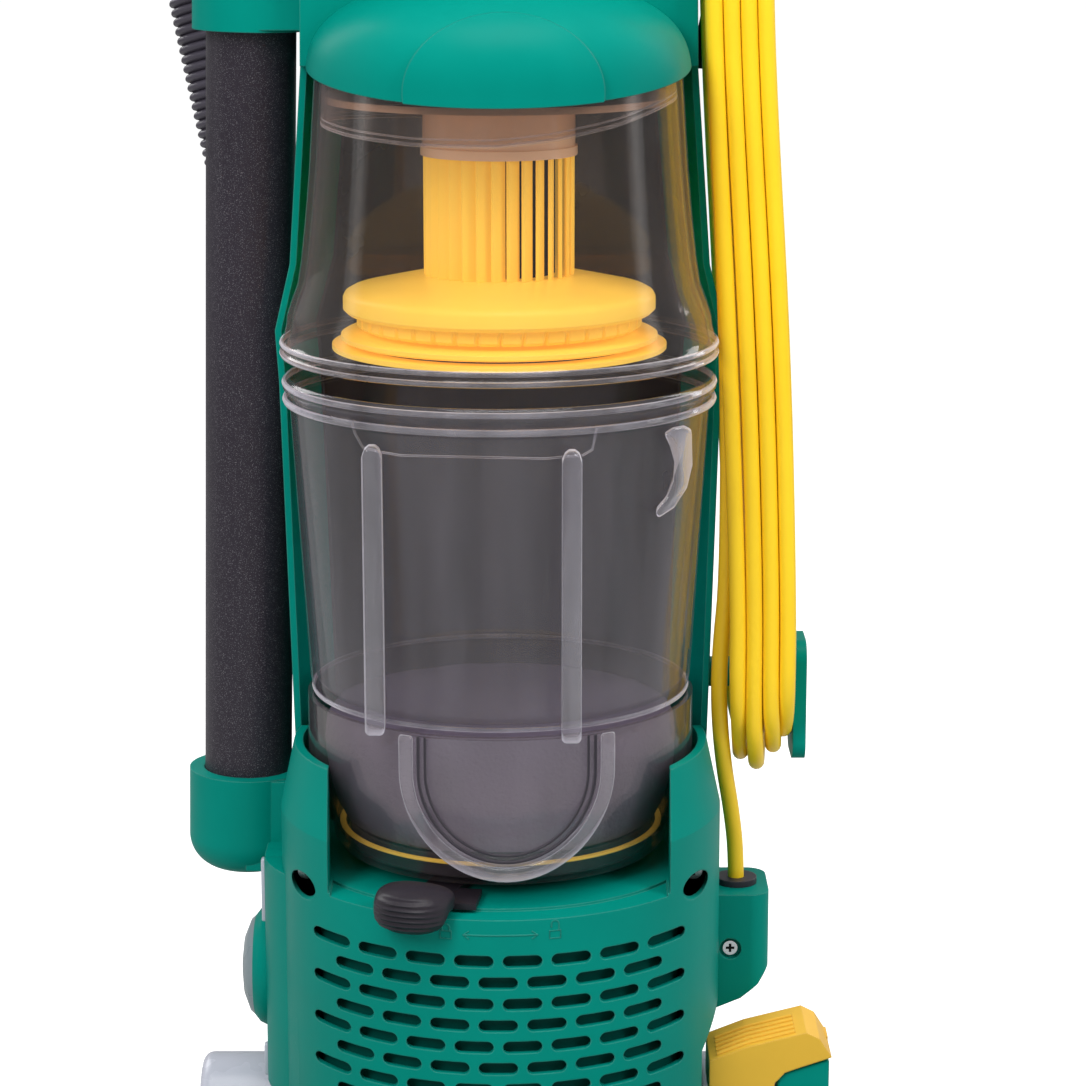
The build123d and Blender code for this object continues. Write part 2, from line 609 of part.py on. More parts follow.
with BuildPart() as motor_can:
    add(rod((-MOTOR_HALF_LEN, PIVOT_Y, PIVOT_Z), (MOTOR_HALF_LEN, PIVOT_Y, PIVOT_Z), MOTOR_R))
    add(rod((-MOTOR_HALF_LEN + 2, PIVOT_Y, PIVOT_Z), (MOTOR_HALF_LEN - 2, PIVOT_Y, PIVOT_Z), MOTOR_R - 2),
        mode=Mode.SUBTRACT)
    add(rod((-MOTOR_HALF_LEN - 1, PIVOT_Y, PIVOT_Z), (MOTOR_HALF_LEN + 1, PIVOT_Y, PIVOT_Z), SHAFT_R + 0.3),
        mode=Mode.SUBTRACT)
    with BuildSketch(Plane.YZ.offset(MOTOR_HALF_LEN - 3)):
        with Locations((PIVOT_Y, PIVOT_Z)):
            with PolarLocations(28, 8):
                Circle(6)
    extrude(amount=4, mode=Mode.SUBTRACT)
save(motor_can.part, "motor_can")

with BuildPart() as motor_rotor:
    add(rod((-MOTOR_HALF_LEN - 6, PIVOT_Y, PIVOT_Z), (BELT_OUT, PIVOT_Y, PIVOT_Z), SHAFT_R))
    add(rod((-26, PIVOT_Y, PIVOT_Z), (26, PIVOT_Y, PIVOT_Z), 24))
    add(rod((32, PIVOT_Y, PIVOT_Z), (44, PIVOT_Y, PIVOT_Z), 13))
    add(rod((-54, PIVOT_Y, PIVOT_Z), (-40, PIVOT_Y, PIVOT_Z), 41))
    add(rod((BELT_IN - 1, PIVOT_Y, PIVOT_Z), (BELT_OUT + 1, PIVOT_Y, PIVOT_Z), PULLEY_R))
save(motor_rotor.part, "motor_rotor")

with BuildPart() as motor_gaskets:
    for x in (-50, 42):
        with BuildSketch(Plane.YZ.offset(x)):
            with Locations((PIVOT_Y, PIVOT_Z)):
                Circle(54.5)
                Circle(MOTOR_R, mode=Mode.SUBTRACT)
        extrude(amount=8)
save(motor_gaskets.part & house_inner, "motor_gaskets")

with BuildPart() as exhaust_filter:
    add(block(-60, 60, -28, -10, 112, 198))
    with BuildSketch(Plane.XY.offset(111)):
        with Locations((0, -28)):
            with GridLocations(8, 0, 15, 1):
                Rectangle(3, 12)
    extrude(amount=88, mode=Mode.SUBTRACT)
save(exhaust_filter.part, "exhaust_filter")

# ---------------------------------------------------------------- back shell
def spine_solid(inset, top):
    """Upright duct behind the bay up to a height, less a wall of the given thickness."""
    back = SPINE_BACK - inset
    with BuildPart() as body:
        with BuildSketch(Plane.XY.offset(SPINE_BOTTOM + inset)):
            with Locations((0, (back + 90) / 2)):
                Rectangle(2 * (SPINE_HALF_W - inset), back - 90)
            fillet(vertices().group_by(Axis.Y)[-1], radius=12 - inset)
        extrude(amount=top - SPINE_BOTTOM - inset)
        chamfer(faces().sort_by(Axis.Z)[0].edges().sort_by(Axis.Y)[-1], length=12 - inset)
    return body.part


spine_inner = spine_solid(WALL, SHELL_TOP + 1)
with BuildPart() as rear_housing:
    add(spine_solid(0, SHELL_TOP))
    add(house_outer & back_half)
    add(bay_outer & back_half)
    add(spine_inner - bay_outer - house_outer, mode=Mode.SUBTRACT)
    add(bay_solid(WALL), mode=Mode.SUBTRACT)
    add(turned([(0, HOUSE_TOP), (91.5, HOUSE_TOP), (91.5, HOUSE_TOP + 4), (0, HOUSE_TOP + 4)]),
        mode=Mode.SUBTRACT)
    add(house_inner, mode=Mode.SUBTRACT)
    add(rod((SOCKET_X, SOCKET_Y, HOUSE_TOP - WALL - 1), (SOCKET_X, SOCKET_Y, HOUSE_TOP + 1), 15),
        mode=Mode.SUBTRACT)
    for side in (-1, 1):
        wall_in = side * (HOUSE_WAIST - WALL - 1)
        wall_out = side * (HOUSE_WAIST + 1)
        add(rod((wall_in, PIVOT_Y, PIVOT_Z), (wall_out, PIVOT_Y, PIVOT_Z), TRUNNION_BORE_R),
            mode=Mode.SUBTRACT)
    # port under the clean-out cap
    port = rod((-HOUSE_WAIST, CAP_Y, CAP_Z), (-106, CAP_Y, CAP_Z), 25)
    port_bore = rod((-80, CAP_Y, CAP_Z), (-107, CAP_Y, CAP_Z), 17)
    add(((port - port_bore) & back_half) - house_outer)
    add(rod((-HOUSE_R - 1, CAP_Y, CAP_Z), (-HOUSE_WAIST + 5, CAP_Y, CAP_Z), 8), mode=Mode.SUBTRACT)
    # hollow trunnions that turn in the base's ears
    for side in (-1, 1):
        tip = side * (EAR_OUT - 1)
        root = side * (HOUSE_WAIST - 1)
        bore_root = side * (HOUSE_WAIST - 8)
        add(rod((root, PIVOT_Y, PIVOT_Z), (tip, PIVOT_Y, PIVOT_Z), TRUNNION_R)
            - rod((bore_root, PIVOT_Y, PIVOT_Z), (tip + side, PIVOT_Y, PIVOT_Z), TRUNNION_BORE_R))
save(rear_housing.part, "rear_housing")

with BuildPart() as bay_panel:
    add(bay_solid(WALL + 0.1) - bay_solid(WALL + 1.3))
    add(block(-200, 200, -200, 92, 0, NECK_TOP), mode=Mode.SUBTRACT)
save(bay_panel.part, "bay_panel")

with BuildPart() as spine_duct:
    with BuildSketch(Plane.XY.offset(230)):
        with Locations((0, 152)):
            RectangleRounded(70, 16, 5)
            RectangleRounded(66, 12, 3.5, mode=Mode.SUBTRACT)
    extrude(amount=330)
save(spine_duct.part, "spine_duct")

with BuildPart() as duct_cap:
    with BuildSketch(Plane.YZ.offset(-106.4)):
        with Locations((CAP_Y, CAP_Z)):
            Circle(28)
    extrude(amount=-13)
    fillet(edges().filter_by(GeomType.CIRCLE).sort_by(Axis.X)[0], radius=5)
    add(rod((-HOUSE_R - 0.6, CAP_Y, CAP_Z), (-107, CAP_Y, CAP_Z), 16.5))
    add(block(-121.4, -119, CAP_Y - 18, CAP_Y + 18, CAP_Z - 3, CAP_Z + 3))
save(duct_cap.part, "duct_cap")

# ---------------------------------------------------------------- top housing, handle and switch
def dome_solid(inset):
    """Low dome on a short skirt, about the cup axis."""
    radius = DOME_R - inset
    height = DOME_TOP - inset - DOME_FOOT
    with BuildPart() as body:
        with BuildSketch(Plane.XZ.offset(-CUP_Y)):
            with BuildLine():
                half = math.sqrt(0.5)
                dome = Spline(
                    (radius, DOME_FOOT), (radius * half, DOME_FOOT + height * half), (0, DOME_FOOT + height),
                    tangents=[(0, 1), (-1, 0)],
                )
                Polyline(dome @ 1, (0, DOME_FOOT - 12), (radius, DOME_FOOT - 12), dome @ 0)
            make_face()
        revolve(axis=Axis((0, CUP_Y, 0), (0, 0, 1)))
    return body.part


with BuildPart() as panel_prism:
    with BuildSketch(Plane.XZ.offset(80)):
        with Locations((PANEL_X, DOME_FOOT - 2)):
            Ellipse(42, 33)
    extrude(amount=-90)

# everything below the dome's lower rim, which dips towards the front
rim_tilt = math.degrees(math.atan2(12, DOME_R))
below_rim = Pos(0, CUP_Y, DOME_RIM) * Rot(rim_tilt, 0, 0) * Pos(0, 0, -50) * Box(300, 300, 100)

with BuildPart() as dome_cover:
    add(dome_solid(0))
    add(dome_solid(-2.2) & panel_prism.part)
    add(dome_solid(WALL), mode=Mode.SUBTRACT)
    add(block(-200, 200, DOME_SPLIT_Y, 200, 0, NECK_TOP), mode=Mode.SUBTRACT)
    add(below_rim, mode=Mode.SUBTRACT)
save(dome_cover.part, "dome_cover")

def top_solid(inset):
    """Shoulder that narrows from the rails to the handle's neck, less a wall of the given thickness."""
    half = TOP_HALF_W - inset
    top = NECK_TOP - inset
    with BuildPart() as body:
        with BuildSketch(Plane.XZ.offset(-DOME_SPLIT_Y - inset)):
            with BuildLine():
                Polyline(
                    (-half, SHELL_TOP + inset), (-half + 1, 636), (-62 + inset, 682), (-40 + inset, top),
                    (40 - inset, top), (62 - inset, 682), (half - 1, 636), (half, SHELL_TOP + inset),
                    close=True,
                )
            make_face()
            fillet(vertices().group_by(Axis.Y)[-1], radius=24 - inset)
            fillet([v for v in vertices() if abs(v.Y - 636) < 1], radius=36 - inset)
        extrude(amount=-(SPINE_BACK - DOME_SPLIT_Y - 2 * inset))
        back_rim = faces().sort_by(Axis.Y)[-1].edges()
        fillet([e for e in back_rim if e.center().Z > SHELL_TOP + inset + 1], radius=20 - inset)
    return body.part


top_outer = top_solid(0)
with BuildPart() as top_housing:
    add(top_outer)
    add(top_solid(WALL), mode=Mode.SUBTRACT)
    # collar round the handle tube
    add(rod((0, HANDLE_Y, NECK_TOP - 8), (0, HANDLE_Y, NECK_TOP + 20), HANDLE_R + 6))
    add(rod((0, HANDLE_Y, NECK_TOP - 9), (0, HANDLE_Y, NECK_TOP + 21), HANDLE_R), mode=Mode.SUBTRACT)
    # boss for the upper cord hook
    add(rod((61.5, HOOK_Y, UPPER_HOOK_Z), (88.2, HOOK_Y, UPPER_HOOK_Z), HOOK_BOSS_R))
    add(rod((50, HOOK_Y, UPPER_HOOK_Z), (90, HOOK_Y, UPPER_HOOK_Z), HOOK_ARM_R + 0.3), mode=Mode.SUBTRACT)
save(top_housing.part, "top_housing")

with BuildPart() as handle_tube:
    add(rod((0, HANDLE_Y, 640), (0, HANDLE_Y, GRIP_BOTTOM + 12), HANDLE_R))
    add(rod((0, HANDLE_Y, 639), (0, HANDLE_Y, GRIP_BOTTOM + 13), HANDLE_R - 1.6), mode=Mode.SUBTRACT)
save(handle_tube.part, "handle_tube")

with BuildPart() as handle_grip:
    with BuildSketch(Plane.YZ.offset(-GRIP_HALF_W)):
        with Locations((HANDLE_Y, (GRIP_BOTTOM + TOP) / 2)):
            RectangleRounded(96, TOP - GRIP_BOTTOM, 40)
            RectangleRounded(42, TOP - GRIP_BOTTOM - 54, 20, mode=Mode.SUBTRACT)
    extrude(amount=2 * GRIP_HALF_W)
    fillet(faces().filter_by(Axis.X).edges(), radius=8)
    add(rod((0, HANDLE_Y, GRIP_BOTTOM - 1), (0, HANDLE_Y, GRIP_BOTTOM + 12), HANDLE_R), mode=Mode.SUBTRACT)
    add(rod((-9, SWITCH_Y, SWITCH_Z), (9, SWITCH_Y, SWITCH_Z), 9.4), mode=Mode.SUBTRACT)
save(handle_grip.part, "handle_grip")

with BuildPart() as power_switch:
    add(rod((-8.4, SWITCH_Y, SWITCH_Z), (8.4, SWITCH_Y, SWITCH_Z), 9))
    add(block(-8.4, 8.4, SWITCH_Y - 11, SWITCH_Y - 5, SWITCH_Z + 1, SWITCH_Z + 5))
save(power_switch.part, "power_switch")

# ---------------------------------------------------------------- clear cover and cyclone
with BuildPart() as cover_shell:
    outer = [
        (COVER_FLANGE_R, COVER_BOTTOM), (COVER_FLANGE_R, 444), (94.5, 449), (93.5, 456), (88, 472),
        (84.5, 500), (COVER_TOP_R, COVER_TOP),
    ]
    inner = [(r - CUP_WALL, z) for r, z in reversed(outer)]
    add(turned(outer + inner[:-1] + [(COVER_FLANGE_R - CUP_WALL, COVER_BOTTOM)]))
save(cover_shell.part, "cover_shell")

with BuildPart() as cyclone_disc:
    disc_outline = [
        (28, 447), (58, 447), (58, 450), (DISC_R - 4, 450), (DISC_R, 452), (DISC_R, 462), (DISC_R - 5, 469),
        (52, 472.5), (28, 473.5),
    ]
    add(turned(disc_outline))
save(cyclone_disc.part, "cyclone_disc")

with BuildPart() as cyclone_shroud:
    with BuildSketch(Plane.XY.offset(474)):
        with Locations((0, CUP_Y)):
            Circle(SHROUD_R - 3)
            Circle(SHROUD_R - 6, mode=Mode.SUBTRACT)
            with PolarLocations(SHROUD_R - 2, 30):
                Rectangle(5, 2.2)
    extrude(amount=COLLAR_BOTTOM - 474)
save(cyclone_shroud.part, "cyclone_shroud")

with BuildPart() as cyclone_collar:
    collar_outline = [
        (SHROUD_R - 5, COLLAR_BOTTOM), (SHROUD_R + 1, COLLAR_BOTTOM), (SHROUD_R + 1, COLLAR_BOTTOM + 4),
        (SHROUD_R, COLLAR_BOTTOM + 4), (SHROUD_R, 549), (76, 549), (76, 552), (SHROUD_R - 5, 552),
    ]
    add(turned(collar_outline))
save(cyclone_collar.part, "cyclone_collar")

with BuildPart() as cyclone_seal:
    add(turned([(62, 441), (74, 441), (74, 443), (62, 443)]))
save(cyclone_seal.part, "cyclone_seal")

# ---------------------------------------------------------------- cup, tray, lift and lever
with BuildPart() as dirt_cup:
    floor_top = CUP_BOTTOM + CUP_WALL
    wall = [
        (0, CUP_BOTTOM), (CUP_BOTTOM_R - 4, CUP_BOTTOM), (CUP_BOTTOM_R, CUP_BOTTOM + 4), (93.4, 418),
        (RIM_R, 421), (RIM_R, RIM_TOP), (93, RIM_TOP), (93, 423), (90.9, 420),
        (CUP_BOTTOM_R - CUP_WALL, CUP_BOTTOM + 5), (CUP_BOTTOM_R - 6, floor_top), (0, floor_top),
    ]
    add(turned(wall))
    # two upright grip ribs on the front
    for x in RIB_X:
        foot_y = CUP_Y - math.sqrt(CUP_BOTTOM_R**2 - x**2)
        head_y = CUP_Y - math.sqrt(CUP_HEAD_R**2 - x**2)
        with BuildSketch(Plane.YZ.offset(x - RIB_W / 2)):
            with BuildLine():
                Polyline(
                    (foot_y + 6, RIB_BOTTOM), (foot_y - 14, RIB_BOTTOM), (head_y - 11, RIB_TOP - 8),
                    (head_y - 6, RIB_TOP), (head_y + 6, RIB_TOP), close=True,
                )
            make_face()
        extrude(amount=RIB_W)
    inner_wall = [
        (0, floor_top), (CUP_BOTTOM_R - 6.2, floor_top), (CUP_BOTTOM_R - CUP_WALL - 0.2, CUP_BOTTOM + 5),
        (90.7, 420), (0, 420),
    ]
    add(turned(inner_wall), mode=Mode.SUBTRACT)
save(dirt_cup.part, "dirt_cup")

with BuildPart() as filter_tray:
    tray_floor = TRAY_BOTTOM + CUP_WALL
    skin = [
        (0, TRAY_BOTTOM), (72, TRAY_BOTTOM), (75, TRAY_BOTTOM + 4), (78, 232), (TRAY_R, 252),
        (TRAY_R, TRAY_TOP), (TRAY_R - CUP_WALL, TRAY_TOP), (TRAY_R - CUP_WALL, 253), (75.5, 233),
        (72.5, TRAY_BOTTOM + 4.5), (71, tray_floor), (0, tray_floor),
    ]
    add(turned(skin))
    add(rod((0, CUP_Y, TRAY_BOTTOM - 1), (0, CUP_Y, tray_floor + 1), LIFT_STEM_R), mode=Mode.SUBTRACT)
save(filter_tray.part, "filter_tray")

with BuildPart() as foam_filter:
    add(turned([(0, 226), (70, 226), (76, 236), (80, 256), (80, 278), (0, 278)]))
    add(block(-100, 100, -60, CUP_Y - 62, 200, 300), mode=Mode.SUBTRACT)
save(foam_filter.part, "foam_filter")

with BuildPart() as filter_frame:
    add(turned([(60, TRAY_BOTTOM + CUP_WALL), (68, TRAY_BOTTOM + CUP_WALL), (68, 225.8), (60, 225.8)]))
save(filter_frame.part, "filter_frame")

with BuildPart() as lift_stem:
    add(rod((0, CUP_Y, 186), (0, CUP_Y, TRAY_BOTTOM + CUP_WALL), LIFT_STEM_R))
    add(rod((0, CUP_Y, TRAY_BOTTOM + CUP_WALL), (0, CUP_Y, TRAY_BOTTOM + CUP_WALL + 2.5), 40))
save(lift_stem.part, "lift_stem")

with BuildPart() as latch_lever:
    with BuildSketch(Plane.XY.offset(HOUSE_TOP + 0.3)):
        with Locations((0, CUP_Y)):
            Circle(22)
    extrude(amount=3)
    direction = math.radians(LATCH_REST)
    along = (math.sin(direction), -math.cos(direction), 0)
    with BuildSketch(Plane(origin=(0, CUP_Y, HOUSE_TOP + 0.3), x_dir=along)):
        with Locations((50, 0)):
            Rectangle(92, 16)
    extrude(amount=3)
    with BuildSketch(Plane(origin=(0, CUP_Y, HOUSE_TOP + 0.3), x_dir=along)):
        with Locations((103, 0)):
            RectangleRounded(24, 30, 9)
    extrude(amount=13)
    fillet(faces().filter_by(Axis.Z).sort_by(Axis.Z)[-1].edges(), radius=4)
    add(rod((0, CUP_Y, HOUSE_TOP), (0, CUP_Y, HOUSE_TOP + 5), LIFT_STEM_R + CLEAR), mode=Mode.SUBTRACT)
save(latch_lever.part, "latch_lever")

# ---------------------------------------------------------------- wand and its holders
wand_axis = (Vector(*WAND_HEAD) - Vector(*WAND_FOOT)).normalized()


def wand_point(z):
    """Point of the wand's axis at a height."""
    point = Vector(*WAND_FOOT) + wand_axis * ((z - WAND_FOOT[2]) / wand_axis.Z)
    return (point.X, point.Y, point.Z)


def wand_rod(z0, z1, radius):
    """Round bar on the wand's axis between two heights."""
    return rod(wand_point(z0), wand_point(z1), radius)


with BuildPart() as wand_tube:
    add(wand_rod(WAND_FOOT[2], WAND_HEAD[2], WAND_R))
    add(wand_rod(WAND_FOOT[2] - 1, WAND_HEAD[2] + 1, WAND_R - WAND_WALL), mode=Mode.SUBTRACT)
save(wand_tube.part, "wand_tube")

# curved hand grip at the top of the wand, leaning forward into the hose
grip_foot = Vector(*WAND_HEAD)
grip_bend = Vector(*wand_point(WAND_HEAD[2] + GRIP_RUN))
grip_lean = Vector(0, -math.sqrt(0.5), math.sqrt(0.5))
grip_end = grip_bend + grip_lean * GRIP_RUN
hose_start = grip_end + grip_lean * 0.1
with BuildPart() as wand_grip:
    with BuildLine():
        FilletPolyline(grip_foot, grip_bend, grip_end, radius=GRIP_BEND_R)
    with BuildSketch(Plane(origin=grip_foot, z_dir=grip_bend - grip_foot)):
        Circle(HOSE_R + 3.5)
        Circle(HOSE_R - 4, mode=Mode.SUBTRACT)
    sweep()
save(wand_grip.part, "wand_grip")

with BuildPart() as lower_wand_holder:
    hold_x, hold_y, hold_z = wand_point(HOLDER_RIM)
    add(wand_rod(HOLDER_BOTTOM, HOLDER_RIM, HOLDER_R))
    fillet(edges().filter_by(GeomType.CIRCLE).sort_by(Axis.Z)[0], radius=16)
    web_front = hold_y - HOLDER_R + 3
    web_back = hold_y + HOLDER_R - 6
    add(block(hold_x, -HOUSE_R + 12, web_front, web_back, HOLDER_BOTTOM + 4, HOLDER_RIM - 1))
    add(house_outer, mode=Mode.SUBTRACT)
    add(bay_outer, mode=Mode.SUBTRACT)
    add(wand_rod(WAND_FOOT[2] - 1, HOLDER_RIM + 1, WAND_R + CLEAR), mode=Mode.SUBTRACT)
save(lower_wand_holder.part, "lower_wand_holder")

with BuildPart() as upper_wand_holder:
    top_x, top_y, top_z = wand_point(SLEEVE_TOP)
    add(wand_rod(SLEEVE_BOTTOM, SLEEVE_TOP, SLEEVE_R))
    web_front = top_y - SLEEVE_R + 0.5
    web_back = top_y + SLEEVE_R - 4
    add(block(top_x, -TOP_HALF_W + 6, web_front, web_back, SLEEVE_BOTTOM + 1, SLEEVE_TOP - 1))
    add(block(-50, 0, 0, 200, SLEEVE_BOTTOM - 5, SLEEVE_TOP + 5), mode=Mode.SUBTRACT)
    add(top_outer, mode=Mode.SUBTRACT)
    add(wand_rod(SLEEVE_BOTTOM - 5, SLEEVE_TOP + 5, WAND_R + CLEAR), mode=Mode.SUBTRACT)
save(upper_wand_holder.part, "upper_wand_holder")

# ---------------------------------------------------------------- hose
with BuildPart() as hose_socket:
    add(rod((SOCKET_X, SOCKET_Y, HOUSE_TOP), (SOCKET_X, SOCKET_Y, SOCKET_TOP - 24), 18))
    add(rod((SOCKET_X, SOCKET_Y, SOCKET_TOP - 24), (SOCKET_X, SOCKET_Y, SOCKET_TOP), 20))
    add(rod((SOCKET_X, SOCKET_Y, HOUSE_TOP - 1), (SOCKET_X, SOCKET_Y, SOCKET_TOP + 1), 15),
        mode=Mode.SUBTRACT)
    add(bay_outer, mode=Mode.SUBTRACT)
save(hose_socket.part, "hose_socket")


def route_tube(points, radius, name, bore=0.0):
    """Tube along straight runs with the largest tangent arcs that the runs allow."""
    radii = []
    for before, corner, after in zip(points, points[1:], points[2:]):
        into = Vector(*corner) - Vector(*before)
        out = Vector(*after) - Vector(*corner)
        half_turn = math.radians(into.get_angle(out)) / 2
        radii.append(0.45 * min(into.length, out.length) / math.tan(half_turn))
    print(name, "radii", [round(r, 1) for r in radii])
    with BuildPart() as tube:
        with BuildLine() as line:
            FilletPolyline(*points, radius=radii)
        with BuildSketch(Plane(origin=points[0], z_dir=Vector(*points[1]) - Vector(*points[0]))):
            Circle(radius)
            if bore:
                Circle(bore, mode=Mode.SUBTRACT)
        sweep()
    print(name, "length", round(line.wires()[0].length, 1), "volume error",
          round(tube.part.volume / (line.wires()[0].length * math.pi * (radius**2 - bore**2)) - 1, 5))
    return tube.part


HOSE_ROUTE = [
    (hose_start.X, hose_start.Y, hose_start.Z),
    (-108, -3, 826),
    (-109, -17, 909),
    (-112, 18, 985),
    (-116, 90, 1027),
    (-122, 174, 1020),
    (-130, 238, 966),
    (-139, 260, 885),
    (-147, 232, 806),
    (-153, 193, 732),
    (-150, 167, 646),
    (-133, 155, 561),
    (-115, 148, 480),
    (-98, 142, 402),
    (SOCKET_X, SOCKET_Y, SOCKET_TOP + 42),
    (SOCKET_X, SOCKET_Y, SOCKET_TOP),
]
save(route_tube(HOSE_ROUTE, HOSE_R, "suction_hose", HOSE_BORE_R), "suction_hose")

# ---------------------------------------------------------------- power cord
with BuildPart() as strain_relief_housing:
    with BuildSketch(Plane.XZ.offset(-GROMMET_Y + 20)):
        with BuildLine():
            Polyline(
                (HOUSE_R - 12, 128), (99, 129), (111, 134), (119, 140.5), (124, 148), (124, 184),
                (HOUSE_R - 12, 184), close=True,
            )
        make_face()
    extrude(amount=-42)
    fillet(edges().filter_by(Axis.Z), radius=9)
    add(house_outer, mode=Mode.SUBTRACT)
    add(rod((GROMMET_X, GROMMET_Y, 150), (GROMMET_X, GROMMET_Y, 185), 6), mode=Mode.SUBTRACT)
    add(rod((CLAMP_X, 40, CLAMP_Z), (CLAMP_X, 49, CLAMP_Z), 5), mode=Mode.SUBTRACT)
    add(rod((CLAMP_X, 40, CLAMP_Z), (CLAMP_X, 58, CLAMP_Z), 1.8), mode=Mode.SUBTRACT)
save(strain_relief_housing.part, "strain_relief_housing")

with BuildPart() as cord_grommet:
    add(rod((GROMMET_X, GROMMET_Y, 160), (GROMMET_X, GROMMET_Y, 184), 6))
    add(rod((GROMMET_X, GROMMET_Y, 184), (GROMMET_X, GROMMET_Y, GROMMET_TOP), 9.5))
    add(rod((GROMMET_X, GROMMET_Y, 159), (GROMMET_X, GROMMET_Y, GROMMET_TOP + 1), CORD_R + 0.05),
        mode=Mode.SUBTRACT)
save(cord_grommet.part, "cord_grommet")

LEAD_ROUTE = [
    (GROMMET_X, GROMMET_Y, 170),
    (GROMMET_X, GROMMET_Y, 197),
    (106.5, 60, 221),
    (102, 52.5, 246),
    (99.5, 49.8, 273),
    (99.8, 49.7, 300),
    (103, 49.7, 335),
]
save(route_tube(LEAD_ROUTE, CORD_R, "cord_lead"), "cord_lead")

with BuildPart() as cord_hank:
    for radius, mode in ((HANK_OUT_R, Mode.ADD), (HANK_IN_R, Mode.SUBTRACT)):
        with BuildSketch(Plane.YZ.offset(70)):
            with Locations((HOOK_Y, HANK_LOW_Z), (HOOK_Y, HANK_HIGH_Z)):
                Circle(radius)
            make_hull()
        extrude(amount=80, mode=mode)
    with BuildSketch(Plane.XZ.offset(-HOOK_Y + 40)) as front_view:
        with BuildLine():
            Polyline(
                (103.5, 240), (133.9, 240), (133.9, 300), (129.5, 440), (124, 520), (118.7, 605),
                (118.7, 700), (88.4, 700), (88.4, 600), (98.2, 440), (103.5, 300), close=True,
            )
        make_face()
    extrude(front_view.sketch, amount=-80, mode=Mode.INTERSECT)
save(cord_hank.part, "cord_hank")

plug_x = 103.0
plug_y = HOOK_Y + HANK_OUT_R + 0.2
plug_top = 604.0
plug_face = 558.0
with BuildPart() as cord_plug:
    with BuildSketch(Plane.XY.offset(plug_face)):
        with Locations((plug_x, plug_y + 13)):
            RectangleRounded(32, 26, 9)
    with BuildSketch(Plane.XY.offset(plug_top)):
        with Locations((plug_x, plug_y + 8)):
            RectangleRounded(15, 15, 6)
    loft()
    for side in (-1, 1):
        x = plug_x + side * 6.3
        add(block(x - 0.8, x + 0.8, plug_y + 12, plug_y + 18, plug_face - 16, plug_face + 1))
    add(rod((plug_x, plug_y + 8, plug_face + 1), (plug_x, plug_y + 8, plug_face - 19), 2.4))
save(cord_plug.part, "cord_plug")

with BuildPart() as lower_cord_hook:
    add(block(60, 134, HOOK_Y - 8, HOOK_Y + 8, LOWER_HOOK_Z - 6, LOWER_HOOK_Z + 6))
    fillet(edges().filter_by(Axis.X), radius=4)
    add(bay_outer, mode=Mode.SUBTRACT)
    with BuildSketch(Plane.YZ.offset(134)):
        with Locations((HOOK_Y, LOWER_HOOK_Z - 11)):
            RectangleRounded(34, 56, 9)
    extrude(amount=6)
save(lower_cord_hook.part, "lower_cord_hook")

with BuildPart() as upper_cord_hook:
    add(rod((58, HOOK_Y, UPPER_HOOK_Z), (119, HOOK_Y, UPPER_HOOK_Z), HOOK_ARM_R))
    with BuildSketch(Plane.YZ.offset(119)):
        with Locations((HOOK_Y, UPPER_HOOK_Z + 11)):
            RectangleRounded(34, 56, 9)
    extrude(amount=6)
    add(rod((58, HOOK_Y, UPPER_HOOK_Z), (61, HOOK_Y, UPPER_HOOK_Z), HOOK_BOSS_R - 1))
save(upper_cord_hook.part, "upper_cord_hook")

# ---------------------------------------------------------------- screws of the upright body
with BuildPart() as housing_screws:
    for side in (-1, 1):
        add(rod((side * POST_SCREW_X, 12, POST_SCREW_Z), (side * POST_SCREW_X, 15, POST_SCREW_Z), 4))
        add(rod((side * POST_SCREW_X, 15, POST_SCREW_Z), (side * POST_SCREW_X, 40, POST_SCREW_Z), 2))
    add(rod((CLAMP_X, 47.5, CLAMP_Z), (CLAMP_X, 49, CLAMP_Z), 3.4))
    add(rod((CLAMP_X, 49, CLAMP_Z), (CLAMP_X, 57, CLAMP_Z), 1.7))
save(housing_screws.part, "housing_screws")
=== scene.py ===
"""Looks of a commercial bagless upright vacuum cleaner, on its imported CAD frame."""
import math

import bmesh
import bpy
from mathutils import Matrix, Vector, noise


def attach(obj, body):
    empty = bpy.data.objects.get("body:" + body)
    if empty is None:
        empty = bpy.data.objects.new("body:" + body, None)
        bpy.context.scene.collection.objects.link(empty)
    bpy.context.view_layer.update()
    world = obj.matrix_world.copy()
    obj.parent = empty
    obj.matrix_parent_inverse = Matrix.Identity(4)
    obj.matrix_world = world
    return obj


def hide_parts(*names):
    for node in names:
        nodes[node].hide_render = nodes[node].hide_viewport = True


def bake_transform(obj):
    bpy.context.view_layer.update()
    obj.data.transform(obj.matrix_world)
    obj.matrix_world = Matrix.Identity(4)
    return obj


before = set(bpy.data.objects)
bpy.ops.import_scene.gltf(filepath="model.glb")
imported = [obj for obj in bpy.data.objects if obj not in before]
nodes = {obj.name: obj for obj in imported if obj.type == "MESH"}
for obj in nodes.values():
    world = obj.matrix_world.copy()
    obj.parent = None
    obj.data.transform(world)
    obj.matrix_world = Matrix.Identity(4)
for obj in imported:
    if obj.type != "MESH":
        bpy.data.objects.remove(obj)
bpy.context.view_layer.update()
scene = bpy.context.scene

MM = 0.001
CUP_Y = 40.0                    # axis of the cup, tray, cover and motor housing


def mm(x, y, z):
    """Point in metres from millimetres."""
    return Vector((x * MM, y * MM, z * MM))


# ------------------------ camera, lights and stage
camera = bpy.data.objects.new("camera", bpy.data.cameras.new("camera"))
camera.location = (0.0193, -1.411, 0.668)
camera.rotation_euler = (math.radians(90 - 12.3), 0, 0)
camera.data.lens = 109.7
camera.data.clip_end = 60
scene.collection.objects.link(camera)
scene.camera = camera
scene.view_settings.view_transform = "Standard"


